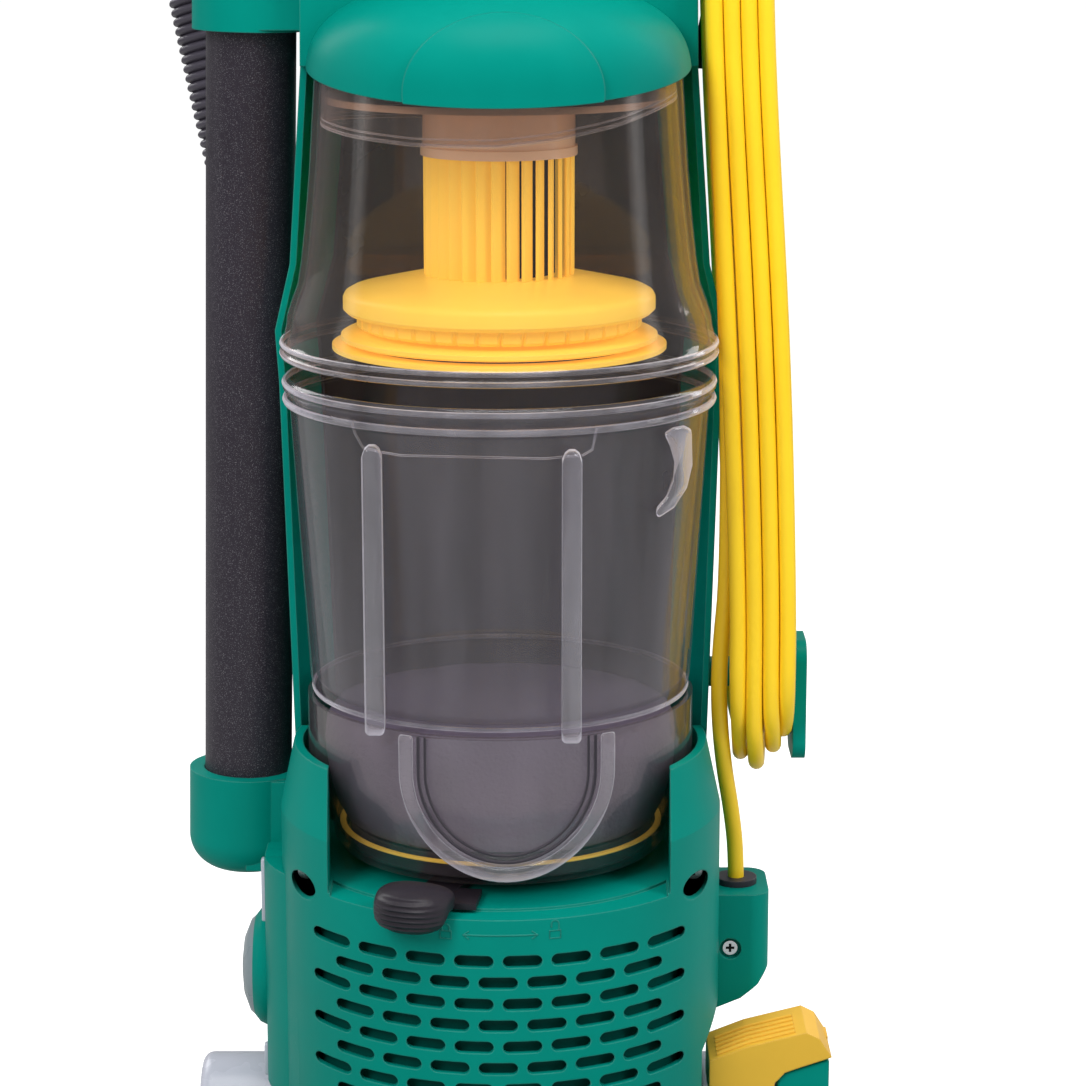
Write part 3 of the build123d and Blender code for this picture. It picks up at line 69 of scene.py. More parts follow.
def soft_box(name, place, aim, size, power, colour=(1, 1, 1)):
    """Rectangular studio light that faces a point."""
    data = bpy.data.lights.new(name, "AREA")
    data.shape = "RECTANGLE"
    data.size, data.size_y = size
    data.energy = power
    data.color = colour
    lamp = bpy.data.objects.new(name, data)
    lamp.location = place
    lamp.rotation_euler = (Vector(aim) - Vector(place)).to_track_quat("-Z", "Y").to_euler()
    scene.collection.objects.link(lamp)
    return lamp


front_lights = [
    soft_box("key_left", (-1.0, -1.5, 1.7), (0, 0, 0.75), (0.7, 1.1), 30),
    soft_box("fill_right", (1.5, -1.1, 1.6), (0, 0, 0.75), (0.6, 1.1), 20),
]
for lamp in front_lights:
    lamp.visible_glossy = False
soft_box("top", (0.1, -0.5, 2.3), (0, 0.05, 0.5), (1.5, 1.2), 25)
soft_box("side_left", (-1.9, 0.1, 0.9), (0, 0.05, 0.5), (0.35, 1.6), 1.5)
soft_box("side_right", (1.9, 0.1, 0.9), (0, 0.05, 0.5), (0.35, 1.6), 2.0)
soft_box("back_left", (-1.2, 1.4, 1.5), (0, 0.1, 0.6), (0.8, 1.2), 13)
soft_box("back_right", (1.3, 1.3, 1.3), (0, 0.1, 0.6), (0.8, 1.2), 12)



def studio_world():
    """White surroundings, brighter where the camera sees them directly than as a light."""
    world = bpy.data.worlds.new("studio")
    world.use_nodes = True
    tree = world.node_tree
    background = tree.nodes["Background"]
    background.inputs["Color"].default_value = (1.0, 1.0, 1.0, 1)
    seen = tree.nodes.new("ShaderNodeLightPath").outputs["Is Camera Ray"]
    strength = tree.nodes.new("ShaderNodeMapRange")
    strength.inputs["To Min"].default_value = 0.36
    strength.inputs["To Max"].default_value = 1.0
    tree.links.new(seen, strength.inputs["Value"])
    tree.links.new(strength.outputs[0], background.inputs["Strength"])
    scene.world = world


studio_world()


FLOOR_HALF = 30.0               # metres
FLOOR_Z = -0.0004


def stage_floor():
    """Pale floor that glows a little for the camera, so that it reads as white with soft shadows."""
    mesh = bpy.data.meshes.new("floor")
    corners = [(x * FLOOR_HALF, y * FLOOR_HALF, FLOOR_Z) for x, y in ((-1, -1), (1, -1), (1, 1), (-1, 1))]
    mesh.from_pydata(corners, [], [(0, 1, 2, 3)])
    item = bpy.data.objects.new("floor", mesh)
    scene.collection.objects.link(item)
    material = bpy.data.materials.new("floor_white")
    material.use_nodes = True
    tree = material.node_tree
    main = tree.nodes["Principled BSDF"]
    main.inputs["Base Color"].default_value = (0.45, 0.45, 0.45, 1)
    main.inputs["Roughness"].default_value = 0.9
    main.inputs["Specular IOR Level"].default_value = 0.0
    main.inputs["Emission Color"].default_value = (1, 1, 1, 1)
    seen = tree.nodes.new("ShaderNodeLightPath").outputs["Is Camera Ray"]
    glow = tree.nodes.new("ShaderNodeMapRange")
    glow.inputs["To Min"].default_value = 0.0
    glow.inputs["To Max"].default_value = 0.86
    tree.links.new(seen, glow.inputs["Value"])
    tree.links.new(glow.outputs[0], main.inputs["Emission Strength"])
    mesh.materials.append(material)


stage_floor()


# ------------------------ materials
class Shader:
    """Node material whose Principled shader takes linked colour, roughness and normal."""

    def __init__(self, name):
        self.material = bpy.data.materials.new(name)
        self.material.use_nodes = True
        self.tree = self.material.node_tree
        self.main = self.tree.nodes["Principled BSDF"]
        self.output = self.tree.nodes["Material Output"]
        self.place = self.node("ShaderNodeTexCoord").outputs["Object"]

    def node(self, kind, **values):
        """New node; values with a socket's name are set on it, the others on the node."""
        item = self.tree.nodes.new(kind)
        for key, value in values.items():
            if key in item.inputs:
                if isinstance(value, bpy.types.NodeSocket):
                    self.tree.links.new(value, item.inputs[key])
                else:
                    item.inputs[key].default_value = value
            else:
                setattr(item, key, value)
        return item

    def link(self, source, target):
        self.tree.links.new(source, target)

    def noise(self, scale, detail=3.0, rough=0.6, stretch=None):
        """Noise texture in object space, as a value from about 0.3 to 0.7."""
        place = self.place
        if stretch:
            mapping = self.node("ShaderNodeMapping", Vector=place)
            mapping.inputs["Scale"].default_value = stretch
            place = mapping.outputs[0]
        texture = self.node("ShaderNodeTexNoise", Vector=place, Scale=scale, Detail=detail, Roughness=rough)
        return texture.outputs[0]

    def span(self, value, low, high, start=0.3, end=0.7):
        """value from start..end to low..high."""
        item = self.node("ShaderNodeMapRange")
        item.inputs["From Min"].default_value = start
        item.inputs["From Max"].default_value = end
        item.inputs["To Min"].default_value = low
        item.inputs["To Max"].default_value = high
        self.link(value, item.inputs["Value"])
        return item.outputs[0]

    def blend(self, value, first, second):
        """Colour between two by a value."""
        item = self.node("ShaderNodeMix", data_type="RGBA")
        self.link(value, item.inputs["Factor"])
        for socket, colour in ((item.inputs[6], first), (item.inputs[7], second)):
            if isinstance(colour, bpy.types.NodeSocket):
                self.link(colour, socket)
            else:
                socket.default_value = (*colour, 1)
        return item.outputs[2]

    def bump(self, value, depth, strength=1.0, under=None):
        """Bump of a height in millimetres."""
        item = self.node("ShaderNodeBump", Height=value)
        item.inputs["Distance"].default_value = depth * MM
        item.inputs["Strength"].default_value = strength
        if under:
            self.link(under, item.inputs["Normal"])
        return item.outputs[0]


def linear(red, green, blue):
    """Linear colour from 0 to 255 display values."""
    shares = (red / 255, green / 255, blue / 255)
    return tuple(c / 12.92 if c <= 0.04045 else ((c + 0.055) / 1.055) ** 2.4 for c in shares)


def plastic(name, colour, rough=0.4, grain=0.03, grain_scale=1400, shift=0.08, specular=0.5, edge=None,
            speck=0.0, coat=0.0, metal=0.0, glow=0.0):
    """Moulded plastic, rubber or paint: fine grain, slow colour shift, a painted highlight (lighter colour)
    along rounded edges and pale specks.

    glow stands for light that passes through a thin bright moulding.
    """
    s = Shader(name)
    slow = s.noise(14, 4)
    fine = s.noise(grain_scale, 2)
    dark = tuple(c * (1 - shift) for c in colour)
    light = tuple(min(1, c * (1 + shift)) for c in colour)
    shade = s.blend(s.span(slow, 0, 1), dark, light)
    if speck:
        dots = s.span(s.noise(2600, 1, 0.4), 0, speck, 0.62, 0.70)
        shade = s.blend(dots, shade, (0.6, 0.58, 0.62))
    normal = None
    if edge:
        bevel = s.node("ShaderNodeBevel", samples=4)
        bevel.inputs["Radius"].default_value = edge * MM
        normal = bevel.outputs[0]
        turn = s.node("ShaderNodeVectorMath", operation="DOT_PRODUCT")
        s.link(normal, turn.inputs[0])
        s.link(s.node("ShaderNodeNewGeometry").outputs["Normal"], turn.inputs[1])
        # painted highlight: colour lighter along rounded edges, where the bevelled normal turns away from the
        # face
        edge_highlight = s.span(turn.outputs["Value"], 0.35, 0, 0.86, 0.99)
        shade = s.blend(edge_highlight, shade, tuple(min(1, 0.75 * c + 0.12) for c in colour))
    s.link(shade, s.main.inputs["Base Color"])
    s.link(s.span(slow, rough - 0.05, rough + 0.07), s.main.inputs["Roughness"])
    s.link(s.bump(fine, grain, 1.0, normal), s.main.inputs["Normal"])
    s.main.inputs["Specular IOR Level"].default_value = specular
    s.main.inputs["Metallic"].default_value = metal
    s.main.inputs["Coat Weight"].default_value = coat
    s.main.inputs["Coat Roughness"].default_value = 0.12
    if glow:
        s.link(shade, s.main.inputs["Emission Color"])
        s.main.inputs["Emission Strength"].default_value = glow
    return s.material


PLASTIC_IOR = 1.45


def clear(name, face, edge, haze=0.01, rough=0.05, gloss=0.7, mist=(0.55, 0.53, 0.58), rim=0.1):
    """Clear moulded plastic: tinted sheet, darker edge-on, with gloss by Fresnel and faint scuffs.

    haze and rim are the most of a diffuse mist that scuffs and grazing angles show.
    """
    s = Shader(name)
    facing = s.node("ShaderNodeLayerWeight", Blend=0.35).outputs["Facing"]
    tint = s.blend(s.span(facing, 0, 1, 0.25, 0.98), face, edge)
    see = s.node("ShaderNodeBsdfTransparent", Color=tint)
    s.tree.nodes.remove(s.main)
    scuff = s.noise(60, 6, 0.7, (1, 1, 0.12))
    shine = s.node("ShaderNodeBsdfGlossy")
    shine.inputs["Color"].default_value = (1, 1, 1, 1)
    s.link(s.span(scuff, rough, rough + 0.08), shine.inputs["Roughness"])
    s.link(s.bump(s.noise(25, 2), 0.15), shine.inputs["Normal"])
    fresnel = s.node("ShaderNodeFresnel")
    behind = s.node("ShaderNodeNewGeometry").outputs["Backfacing"]
    s.link(s.span(behind, PLASTIC_IOR, 1 / PLASTIC_IOR, 0, 1), fresnel.inputs["IOR"])
    amount = s.node("ShaderNodeMath", operation="MULTIPLY", use_clamp=True)
    s.link(fresnel.outputs[0], amount.inputs[0])
    amount.inputs[1].default_value = gloss
    mix = s.node("ShaderNodeMixShader")
    s.link(amount.outputs[0], mix.inputs[0])
    s.link(see.outputs[0], mix.inputs[1])
    s.link(shine.outputs[0], mix.inputs[2])
    fog = s.node("ShaderNodeBsdfDiffuse", Color=(*mist, 1))
    veil = s.node("ShaderNodeMixShader")
    grazing = s.span(s.node("ShaderNodeLayerWeight", Blend=0.5).outputs["Facing"], 0, rim, 0.45, 1.0)
    cloud = s.node("ShaderNodeMath", operation="ADD", use_clamp=True)
    s.link(s.span(scuff, haze * 0.3, haze, 0.40, 0.70), cloud.inputs[0])
    s.link(grazing, cloud.inputs[1])
    s.link(cloud.outputs[0], veil.inputs[0])
    s.link(mix.outputs[0], veil.inputs[1])
    s.link(fog.outputs[0], veil.inputs[2])
    s.link(veil.outputs[0], s.output.inputs["Surface"])
    return s.material


GREEN = plastic("green_shell", linear(0, 130, 117), 0.38, 0.02, 1100, 0.06, 0.06, edge=0.9)
CHARCOAL = plastic("charcoal_shell", linear(50, 46, 54), 0.46, 0.05, 1500, 0.10, 0.35, edge=0.8)
WAND = plastic("wand_plastic", linear(42, 37, 46), 0.42, 0.06, 1300, 0.08, 0.35, speck=0.25)
PANEL = plastic("bay_panel_dark", linear(30, 25, 31), 0.30, 0.0, 900, 0.12, 0.4)
YELLOW = plastic("cyclone_yellow", linear(255, 211, 84), 0.36, 0.02, 1200, 0.04, 0.35, edge=0.6, glow=0.22)
PEDAL = plastic("pedal_yellow", linear(226, 176, 58), 0.42, 0.03, 1200, 0.06, 0.3, edge=0.9)
CORD = plastic("cord_sheath", linear(255, 210, 38), 0.36, 0.05, 700, 0.05, 0.35)
HOSE = plastic("hose_plastic", linear(64, 60, 70), 0.42, 0.05, 900, 0.12, 0.4)
TAN = plastic("collar_smoky", linear(238, 208, 182), 0.22, 0.02, 700, 0.08, 0.5)
WHEEL = plastic("wheel_grey", linear(150, 152, 156), 0.45, 0.03, 1200, 0.06, 0.45, edge=0.8)
TREAD = plastic("tyre_rubber", linear(46, 46, 50), 0.75, 0.12, 700, 0.12, 0.3)
RUBBER = plastic("black_rubber", linear(38, 38, 42), 0.65, 0.08, 900, 0.12, 0.35)
ROLL = plastic("brush_core", linear(70, 72, 76), 0.45, 0.03, 900, 0.1, 0.45)
BRISTLE = plastic("bristle_nylon", linear(44, 44, 50), 0.5, 0.05, 900, 0.2, 0.5)
FILTER = plastic("filter_paper", linear(196, 190, 176), 0.9, 0.15, 900, 0.08, 0.2)
FOAM = plastic("foam", linear(108, 103, 120), 0.95, 0.55, 420, 0.10, 0.1)
STEEL = plastic("plated_steel", (0.62, 0.63, 0.66), 0.25, 0.03, 900, 0.10, 0.5, metal=1.0)
PAINTED = plastic("handle_paint", linear(74, 76, 82), 0.34, 0.05, 1000, 0.08, 0.5, coat=0.3)
GREY_TRIM = plastic("grey_trim", linear(182, 184, 196), 0.24, 0.02, 900, 0.05, 0.5, edge=0.9)
CAP_GREY = plastic("cap_grey", linear(122, 136, 142), 0.3, 0.02, 900, 0.05, 0.5)
LEVER = plastic("lever_black", linear(38, 34, 41), 0.42, 0.03, 1200, 0.08, 0.35)
# darker green than the shell: painted shade for the insides of the grille slots
VENT_SHADE_GREEN = plastic("vent_green_painted_shade", linear(0, 88, 79), 0.5, 0.02, 1100, 0.06, 0.12)
# near black: painted shade for screw recesses and for the gaps between the cyclone louvres
SHADE_BLACK = plastic("recess_painted_shade", linear(14, 16, 17), 0.7, 0.05, 900, 0.1, 0.15)
CLEAR_COVER = clear("clear_cover", (0.965, 0.935, 0.915), (0.70, 0.62, 0.58),
                    0.012, 0.05, 0.8, (0.55, 0.50, 0.54), 0.08)
CLEAR_TRAY = clear("clear_tray", (0.94, 0.91, 0.90), (0.64, 0.58, 0.57),
                   0.03, 0.07, 0.9, (0.50, 0.46, 0.52), 0.05)
CLEAR_CUP = clear("clear_cup", (0.98, 0.97, 0.985), (0.66, 0.63, 0.68),
                  0.038, 0.06, 0.75, (0.62, 0.59, 0.68), 0.03)
CLEAR_THICK = clear("clear_thick", (0.95, 0.94, 0.96), (0.70, 0.68, 0.74),
                    0.12, 0.08, 1.2, (0.86, 0.84, 0.92), 0.55)
SMOKE = clear("smoky_skirt", (0.86, 0.82, 0.80), (0.64, 0.58, 0.56),
              0.05, 0.10, 0.7, (0.6, 0.55, 0.55), 0.2)

LOOKS = {
    GREEN: ["motor_cover", "rear_housing", "top_housing", "upper_wand_holder", "lower_wand_holder",
            "strain_relief_housing", "lower_cord_hook", "upper_cord_hook", "front_bumper", "base_housing",
            "dome_cover", "duct_cap"],
    GREY_TRIM: ["ear_caps"],
    CHARCOAL: ["latch_lever", "handle_grip", "power_switch", "sole_plate", "floor_duct", "brush_bearings",
               "pivot_bushes", "cord_grommet", "lift_stem", "filter_frame", "roller_carriage", "hose_socket",
               "wand_grip"],
    WAND: ["wand_tube"],
    PANEL: ["bay_panel", "spine_duct"],
    YELLOW: ["cyclone_disc", "cyclone_shroud", "cyclone_seal"],
    TAN: ["cyclone_collar"],
    PEDAL: ["release_pedal", "height_knob"],
    CORD: ["cord_lead", "cord_hank"],
    HOSE: ["suction_hose"],
    WHEEL: ["rear_wheel_left", "rear_wheel_right", "front_rollers"],
    ROLL: ["brush_roll"],
    TREAD: ["tyre_left", "tyre_right"],
    RUBBER: ["motor_gaskets", "drive_belt", "cord_plug"],
    BRISTLE: ["brush_bristles"],
    FILTER: ["exhaust_filter"],
    FOAM: ["foam_filter"],
    STEEL: ["axles_and_pins", "pedal_spring", "base_screws", "housing_screws", "motor_can", "motor_rotor"],
    PAINTED: ["handle_tube"],
    CLEAR_COVER: ["cover_shell"],
    CLEAR_CUP: ["dirt_cup", "filter_tray"],
}
for material, names in LOOKS.items():
    for name in names:
        for holder in nodes[name].material_slots:
            holder.material = material


def make(name, material, body, *parts, width=0.0, angle=35, stands_for=()):
    """Piece of one or more parts, smooth below an angle and with edges rounded by a width, on a body."""
    points, faces = [], []
    for more, sides in parts:
        start = len(points)
        points += [mm(*p) for p in more]
        faces += [tuple(start + i for i in face) for face in sides]
    mesh = bpy.data.meshes.new(name)
    mesh.from_pydata(points, [], faces)
    bm = bmesh.new()
    bm.from_mesh(mesh)
    bmesh.ops.recalc_face_normals(bm, faces=bm.faces)
    if width:
        sharp = [e for e in bm.edges if len(e.link_faces) == 2 and e.calc_face_angle() > math.radians(40)]
        bmesh.ops.bevel(bm, geom=sharp, offset=width * MM, segments=3, profile=0.5, affect="EDGES",
                        clamp_overlap=True)
    bm.to_mesh(mesh)
    bm.free()
    mesh.materials.append(material)
    mesh.shade_smooth()
    mesh.set_sharp_from_angle(angle=math.radians(angle))
    item = bpy.data.objects.new(name, mesh)
    scene.collection.objects.link(item)
    if body:
        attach(item, body)
    if stands_for:
        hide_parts(*stands_for)
    return item


def about_cup(x, y, z):
    return (x, CUP_Y + y, z)


def turned(outline, segments=160, place=about_cup):
    """Solid ring of a closed (r, h) outline; place puts its local (x, y, h) on the machine."""
    count = len(outline)
    points, faces = [], []
    for step in range(segments):
        angle = 2 * math.pi * step / segments
        points += [place(r * math.cos(angle), r * math.sin(angle), h) for r, h in outline]
        a, b = step * count, (step + 1) % segments * count
        faces += [(a + i, a + (i + 1) % count, b + (i + 1) % count, b + i) for i in range(count)]
    return points, faces


def bar(path, radius, sides=10, closed=False):
    """Round bar along points; radius is one number or one for each point."""
    path = [Vector(p) for p in path]
    last = len(path) - 1
    points, faces = [], []
    side = None
    for i, here in enumerate(path):
        if closed:
            ahead = path[(i + 1) % len(path)] - path[i - 1]
        else:
            ahead = path[min(i + 1, last)] - path[max(i - 1, 0)]
        ahead.normalize()
        if side is None:
            side = ahead.orthogonal().normalized()
        side = (side - ahead * side.dot(ahead)).normalized()
        up = ahead.cross(side)
        r = radius[i] if isinstance(radius, list) else radius
        for k in range(sides):
            turn = 2 * math.pi * k / sides
            points.append(here + (side * math.cos(turn) + up * math.sin(turn)) * r)
    for i in range(len(path) if closed else last):
        a, b = i * sides, (i + 1) % len(path) * sides
        faces += [(a + k, a + (k + 1) % sides, b + (k + 1) % sides, b + k) for k in range(sides)]
    if not closed:
        faces.append(tuple(range(sides)))
        faces.append(tuple(last * sides + k for k in range(sides)))
    return points, faces


def plate(outline, front, back):
    """Solid of a closed outline of front-view (x, z) points; front and back give its y at (x, z)."""
    count = len(outline)
    points = [(x, front(x, z), z) for x, z in outline] + [(x, back(x, z), z) for x, z in outline]
    faces = [tuple(range(count)), tuple(range(count, 2 * count))]
    return points, faces + [(i, (i + 1) % count, (i + 1) % count + count, i + count) for i in range(count)]


def tube_sides(p, q):
    """Four sides between two squares whose points start at p and at q."""
    return [(p, p + 2, q + 2, q), (p + 1, p + 3, q + 3, q + 1),
            (p, p + 1, q + 1, q), (p + 2, p + 3, q + 3, q + 2)]


def band(path, width, front, back):
    """Strip of a width along front-view (x, z) points; front and back give its y at (x, z)."""
    points, faces = [], []
    last = len(path) - 1
    for i, (x, z) in enumerate(path):
        a, b = path[max(i - 1, 0)], path[min(i + 1, last)]
        run = math.hypot(b[0] - a[0], b[1] - a[1])
        nx, nz = -(b[1] - a[1]) / run * width / 2, (b[0] - a[0]) / run * width / 2
        edges = ((x + nx, z + nz), (x - nx, z - nz))
        points += [(u, depth(u, w), w) for u, w in edges for depth in (front, back)]
        if i:
            faces += tube_sides(4 * (i - 1), 4 * i)
    return points, faces + [(0, 1, 3, 2), (4 * last, 4 * last + 1, 4 * last + 3, 4 * last + 2)]


def upright_prism(plan, z0, z1):
    """Prism of a closed (x, y) plan."""
    count = len(plan)
    points = [(x, y, z) for z in (z0, z1) for x, y in plan]
    faces = [tuple(range(count)), tuple(range(count, 2 * count))]
    return points, faces + [(i, (i + 1) % count, (i + 1) % count + count, i + count) for i in range(count)]


def on_round(radius, more=0.0):
    """Front surface of an upright round wall about the cup axis; radius is a number or a function of z."""
    def front(x, z):
        r = (radius(z) if callable(radius) else radius) + more
        return CUP_Y - math.sqrt(max(r * r - x * x, 0))
    return front


def level(outline, z):
    """Radius of an (r, z) outline at a height."""
    for (r0, z0), (r1, z1) in zip(outline, outline[1:]):
        if z0 <= z <= z1:
            return r0 + (r1 - r0) * (z - z0) / max(z1 - z0, 1e-6)
    return outline[0][0] if z < outline[0][1] else outline[-1][0]


# ------------------------ dirt cup
CUP_OUT = [(78, 286), (82, 286.8), (84.6, 289), (85.6, 293), (93, 414)]


def cup_r(z):
    return level(CUP_OUT, z)


cup_outline = [
    (0.05, 286), *CUP_OUT, (93.4, 416), (95.4, 417.2), (96, 418.8), (95.4, 420.4), (94, 421.2),
    (94.4, 422.4), (96, 424), (96.3, 426), (95.6, 428), (94.4, 429), (93.2, 429),
    (92.2, 427.5), (91.8, 422), (90.8, 416), (83, 294), (82, 291), (79, 288.6), (0.05, 288.6),
]
cup_parts = [turned(cup_outline, 192)]
make("clear_dirt_cup", CLEAR_CUP, "cup", *cup_parts, stands_for=["dirt_cup"])


def rib(x):
    """Upright grip on the front of the cup."""
    half = 4.2
    right = [(half - 1, 284.2), (half, 286), (half, 406.5), (half - 1.2, 409.6), (half - 3, 411)]
    outline = [(x + u, z) for u, z in right] + [(x - u, z) for u, z in reversed(right)]

    def front(u, z):
        round_top = 5.0 * ((z - 404) / 7) ** 2 if z > 404 else 0
        return on_round(cup_r)(x, max(z, 293)) - 13.5 + 3.5 * (z - 286) / 125 + round_top
    return plate(outline, front, lambda u, z: on_round(cup_r, -1.0)(x, max(z, 293)))


tab = [(71, 413), (75, 414.5), (80, 414), (83.5, 411), (84, 396), (81.5, 386), (76, 379), (69, 376.2),
       (67.6, 378), (68.5, 381), (72.5, 384.5), (75.4, 391), (75.8, 399), (73.6, 407)]
make("cup_grips", CLEAR_THICK, "cup", rib(-53.0), rib(31.5),
     plate(tab, on_round(cup_r, 3.2), on_round(cup_r, -0.6)), width=1.3)
make("cup_rim_beads", CLEAR_THICK, "cup", *[turned(ring, 192) for ring in (
    [(94.6, 417.4), (95.8, 417.6), (96.3, 418.8), (95.8, 420.0), (94.6, 420.4)],
    [(94.8, 425.0), (96.0, 425.2), (96.5, 426.3), (96.0, 427.4), (94.8, 427.6)],
    [(83.6, 286.9), (84.6, 287.0), (85.0, 287.8), (84.9, 288.6), (84.0, 288.9)])])
panel_edge = [(-61.6, 419), (-60.6, 415), (-57, 409), (-49, 408), (-40, 407.5), (20, 407.5), (36, 408),
              (40, 410), (41.9, 419)]
make("cup_panel_line", CLEAR_THICK, "cup",
     bar([(x, on_round(cup_r, 0.1)(x, z), z) for x, z in panel_edge], 0.5, 6))

# ------------------------ filter tray with its window and foam
TRAY_OUT = [(70, 214), (73, 215), (75.5, 218.5), (78.5, 232), (81.5, 241), (85.5, 249), (87, 255), (87, 285)]


def tray_r(z):
    return level(TRAY_OUT, z)


tray_outline = [(8.2, 214), *TRAY_OUT, (84.5, 285), (84.5, 255.5), (83, 250), (79.2, 242), (76, 232.5),
                (73, 220), (71, 217), (69.5, 216.5), (8.2, 216.5)]
make("clear_filter_tray", CLEAR_TRAY, "lift", turned(tray_outline, 192), stands_for=["filter_tray"])
WINDOW_X, WINDOW_Z = 3.75, 267.75


def arch(radius, top=284.0, steps=40):
    """U of a radius round the window's centre, from its left end down and up again."""
    path = [(WINDOW_X - radius, top), (WINDOW_X - radius, (top + WINDOW_Z) / 2)]
    for step in range(steps + 1):
        a = math.pi * step / steps
        path.append((WINDOW_X - radius * math.cos(a), WINDOW_Z - radius * math.sin(a)))
    return path + [(WINDOW_X + radius, (top + WINDOW_Z) / 2), (WINDOW_X + radius, top)]


make("tray_window_rim", CLEAR_THICK, "lift", band(arch(43.6), 6.2, on_round(89.5), on_round(tray_r, -1.0)),
     width=1.4)
# dark bands inside the clear rim: painted shade standing in for the grooves round the window
make("tray_window_groove_shade", CHARCOAL, "lift", band(arch(38.2), 1.4, on_round(87.6), on_round(86.2)),
     band(arch(35.2), 1.2, on_round(87.6), on_round(86.2)), width=0.4)


def pane():
    """Curved sheet that fills the window."""
    xs = [WINDOW_X + 41 * math.sin(math.radians(a)) for a in range(-90, 91, 6)]
    count = len(xs)
    points, faces = [], []
    for r in (86.0, 87.4):
        for x in xs:
            low = WINDOW_Z - math.sqrt(max(41 ** 2 - (x - WINDOW_X) ** 2, 0.01))
            points += [(x, on_round(r)(x, z), z) for z in (low, 284.0)]
    for start in (0, 2 * count):
        faces += [(k, k + 1, k + 3, k + 2) for k in range(start, start + 2 * (count - 1), 2)]
    rim = [2 * i for i in range(count)] + [2 * i + 1 for i in range(count - 1, -1, -1)]
    faces += [(a, b, b + 2 * count, a + 2 * count) for a, b in zip(rim, rim[1:] + rim[:1])]
    return points, faces


make("tray_window_pane", CLEAR_CUP, "lift", pane())


def foam_place(x, y, z):
    """Foam flattened at the front, with an uneven cut surface."""
    y = max(y, -62.0)
    wave = noise.noise(Vector((x, y, z)) * 0.11) * 0.7 + noise.noise(Vector((x, y, z)) * 0.4) * 0.25
    size = math.hypot(x, y) + 1e-6
    return (x + wave * x / size, CUP_Y + y + wave * y / size, z + wave * 0.5)


foam_outline = [(0.05, 226.4), (40, 226.4), (64, 226.4), (68, 227), (71, 229), (74.5, 236), (77, 245),
                (79, 256), (79.3, 266), (78.5, 273), (76, 276.6), (72, 277.6), (50, 277.6), (25, 277.6),
                (0.05, 277.6)]
make("foam_block", FOAM, "lift", turned(foam_outline, 150, foam_place), stands_for=["foam_filter"], angle=50)
lip_outline = [(70.6, 223.2), (72.8, 223.2), (73.2, 223.6), (73.2, 224.4), (70.6, 224.4)]
make("filter_frame_lip", YELLOW, "lift", turned(lip_outline, 120))

# ------------------------ clear cover, cyclone and what hangs in the cover
COVER_OUT = [(96, 438), (97, 438.8), (97, 440.6), (96.2, 441.5), (97, 442.4), (97, 444.2), (95.2, 446),
             (94.6, 449), (93.9, 452), (93.5, 456), (91.5, 462), (88.6, 470), (87, 480), (84.8, 500),
             (83, 520), (80.2, 562)]
cover_in = [(77.7, 562), (80.5, 520), (82.3, 500), (84.5, 480), (86.1, 471), (89, 463), (91, 456.5),
            (91.4, 452), (92, 449), (92.6, 446), (94.3, 443), (94.3, 438)]
make("clear_cover_shell", CLEAR_COVER, "upright", turned(COVER_OUT + cover_in, 192),
     stands_for=["cover_shell"])
bead = [(95.6, 0), (96.8, 0.3), (97.2, 1.2), (96.8, 2.1), (95.6, 2.4)]
make("cover_rim_beads", CLEAR_THICK, "upright",
     *[turned([(r, low + h) for r, h in bead], 192) for low in (438.2, 442.6)])
SKIRT_EDGE = [(540, -80), (538, -62), (536.4, -35), (536.4, 0), (539, 25), (543.5, 50), (552, 80)]


def skirt_z(x):
    """Height of the skirt's slanted lower edge at x."""
    return level([(z, x0) for z, x0 in SKIRT_EDGE], x)


def skirt_place(x, y, z):
    return (x, CUP_Y + y, z if z > 561 else skirt_z(x) + (z - 500))


make("inner_skirt", SMOKE, "upright",
     turned([(76.3, 562), (77.4, 562), (77.4, 500), (76.3, 500)], 160, skirt_place))
ring_angles = [2 * math.pi * i / 120 for i in range(120)]
edge_ring = [(77.2 * math.cos(a), CUP_Y + 77.2 * math.sin(a)) for a in ring_angles]
make("skirt_lip", CLEAR_THICK, "upright", bar([(x, y, skirt_z(x)) for x, y in edge_ring], 0.8, 8, True),
     bar([(x, y, skirt_z(x) + 2.6) for x, y in edge_ring], 0.45, 6, True))


def notched(x, y, z):
    """Disc with small notches in its lower step."""
    if z < 456 and math.degrees(math.atan2(y, x)) % 9 < 2.2:
        x, y = x * 0.965, y * 0.965
    return (x, CUP_Y + y, z)


disc_outline = [(28, 450), (61, 450), (63, 451.5), (63, 456.5), (67.4, 457), (69, 458.6), (69, 463.6),
                (68, 465.6), (65.5, 467), (52, 470), (38, 473), (28, 473.8)]
foot_outline = [(28, 444.6), (68, 444.6), (70, 445.4), (70, 447.2), (68.6, 448), (28, 448)]
make("cyclone_disc_moulding", YELLOW, "upright", turned(disc_outline, 320, notched),
     turned(foot_outline, 160), stands_for=["cyclone_disc"])


def louvre(angle):
    """One upright fin of the shroud, turned by 35 degrees."""
    a = math.radians(angle)
    lean = a + math.radians(35)
    cx, cy = 30.6 * math.sin(a), -30.6 * math.cos(a)
    along = (math.cos(lean) * 3.4, math.sin(lean) * 3.4)
    across = (math.sin(lean) * 0.9, -math.cos(lean) * 0.9)
    corners = [(cx + i * along[0] + j * across[0], CUP_Y + cy + i * along[1] + j * across[1])
               for i, j in ((-1, -1), (1, -1), (1, 1), (-1, 1))]
    return upright_prism(corners, 473.4, 526.4)


make("cyclone_louvres", YELLOW, "upright", *[louvre(12 * i) for i in range(30)], width=0.4,
     stands_for=["cyclone_shroud"])
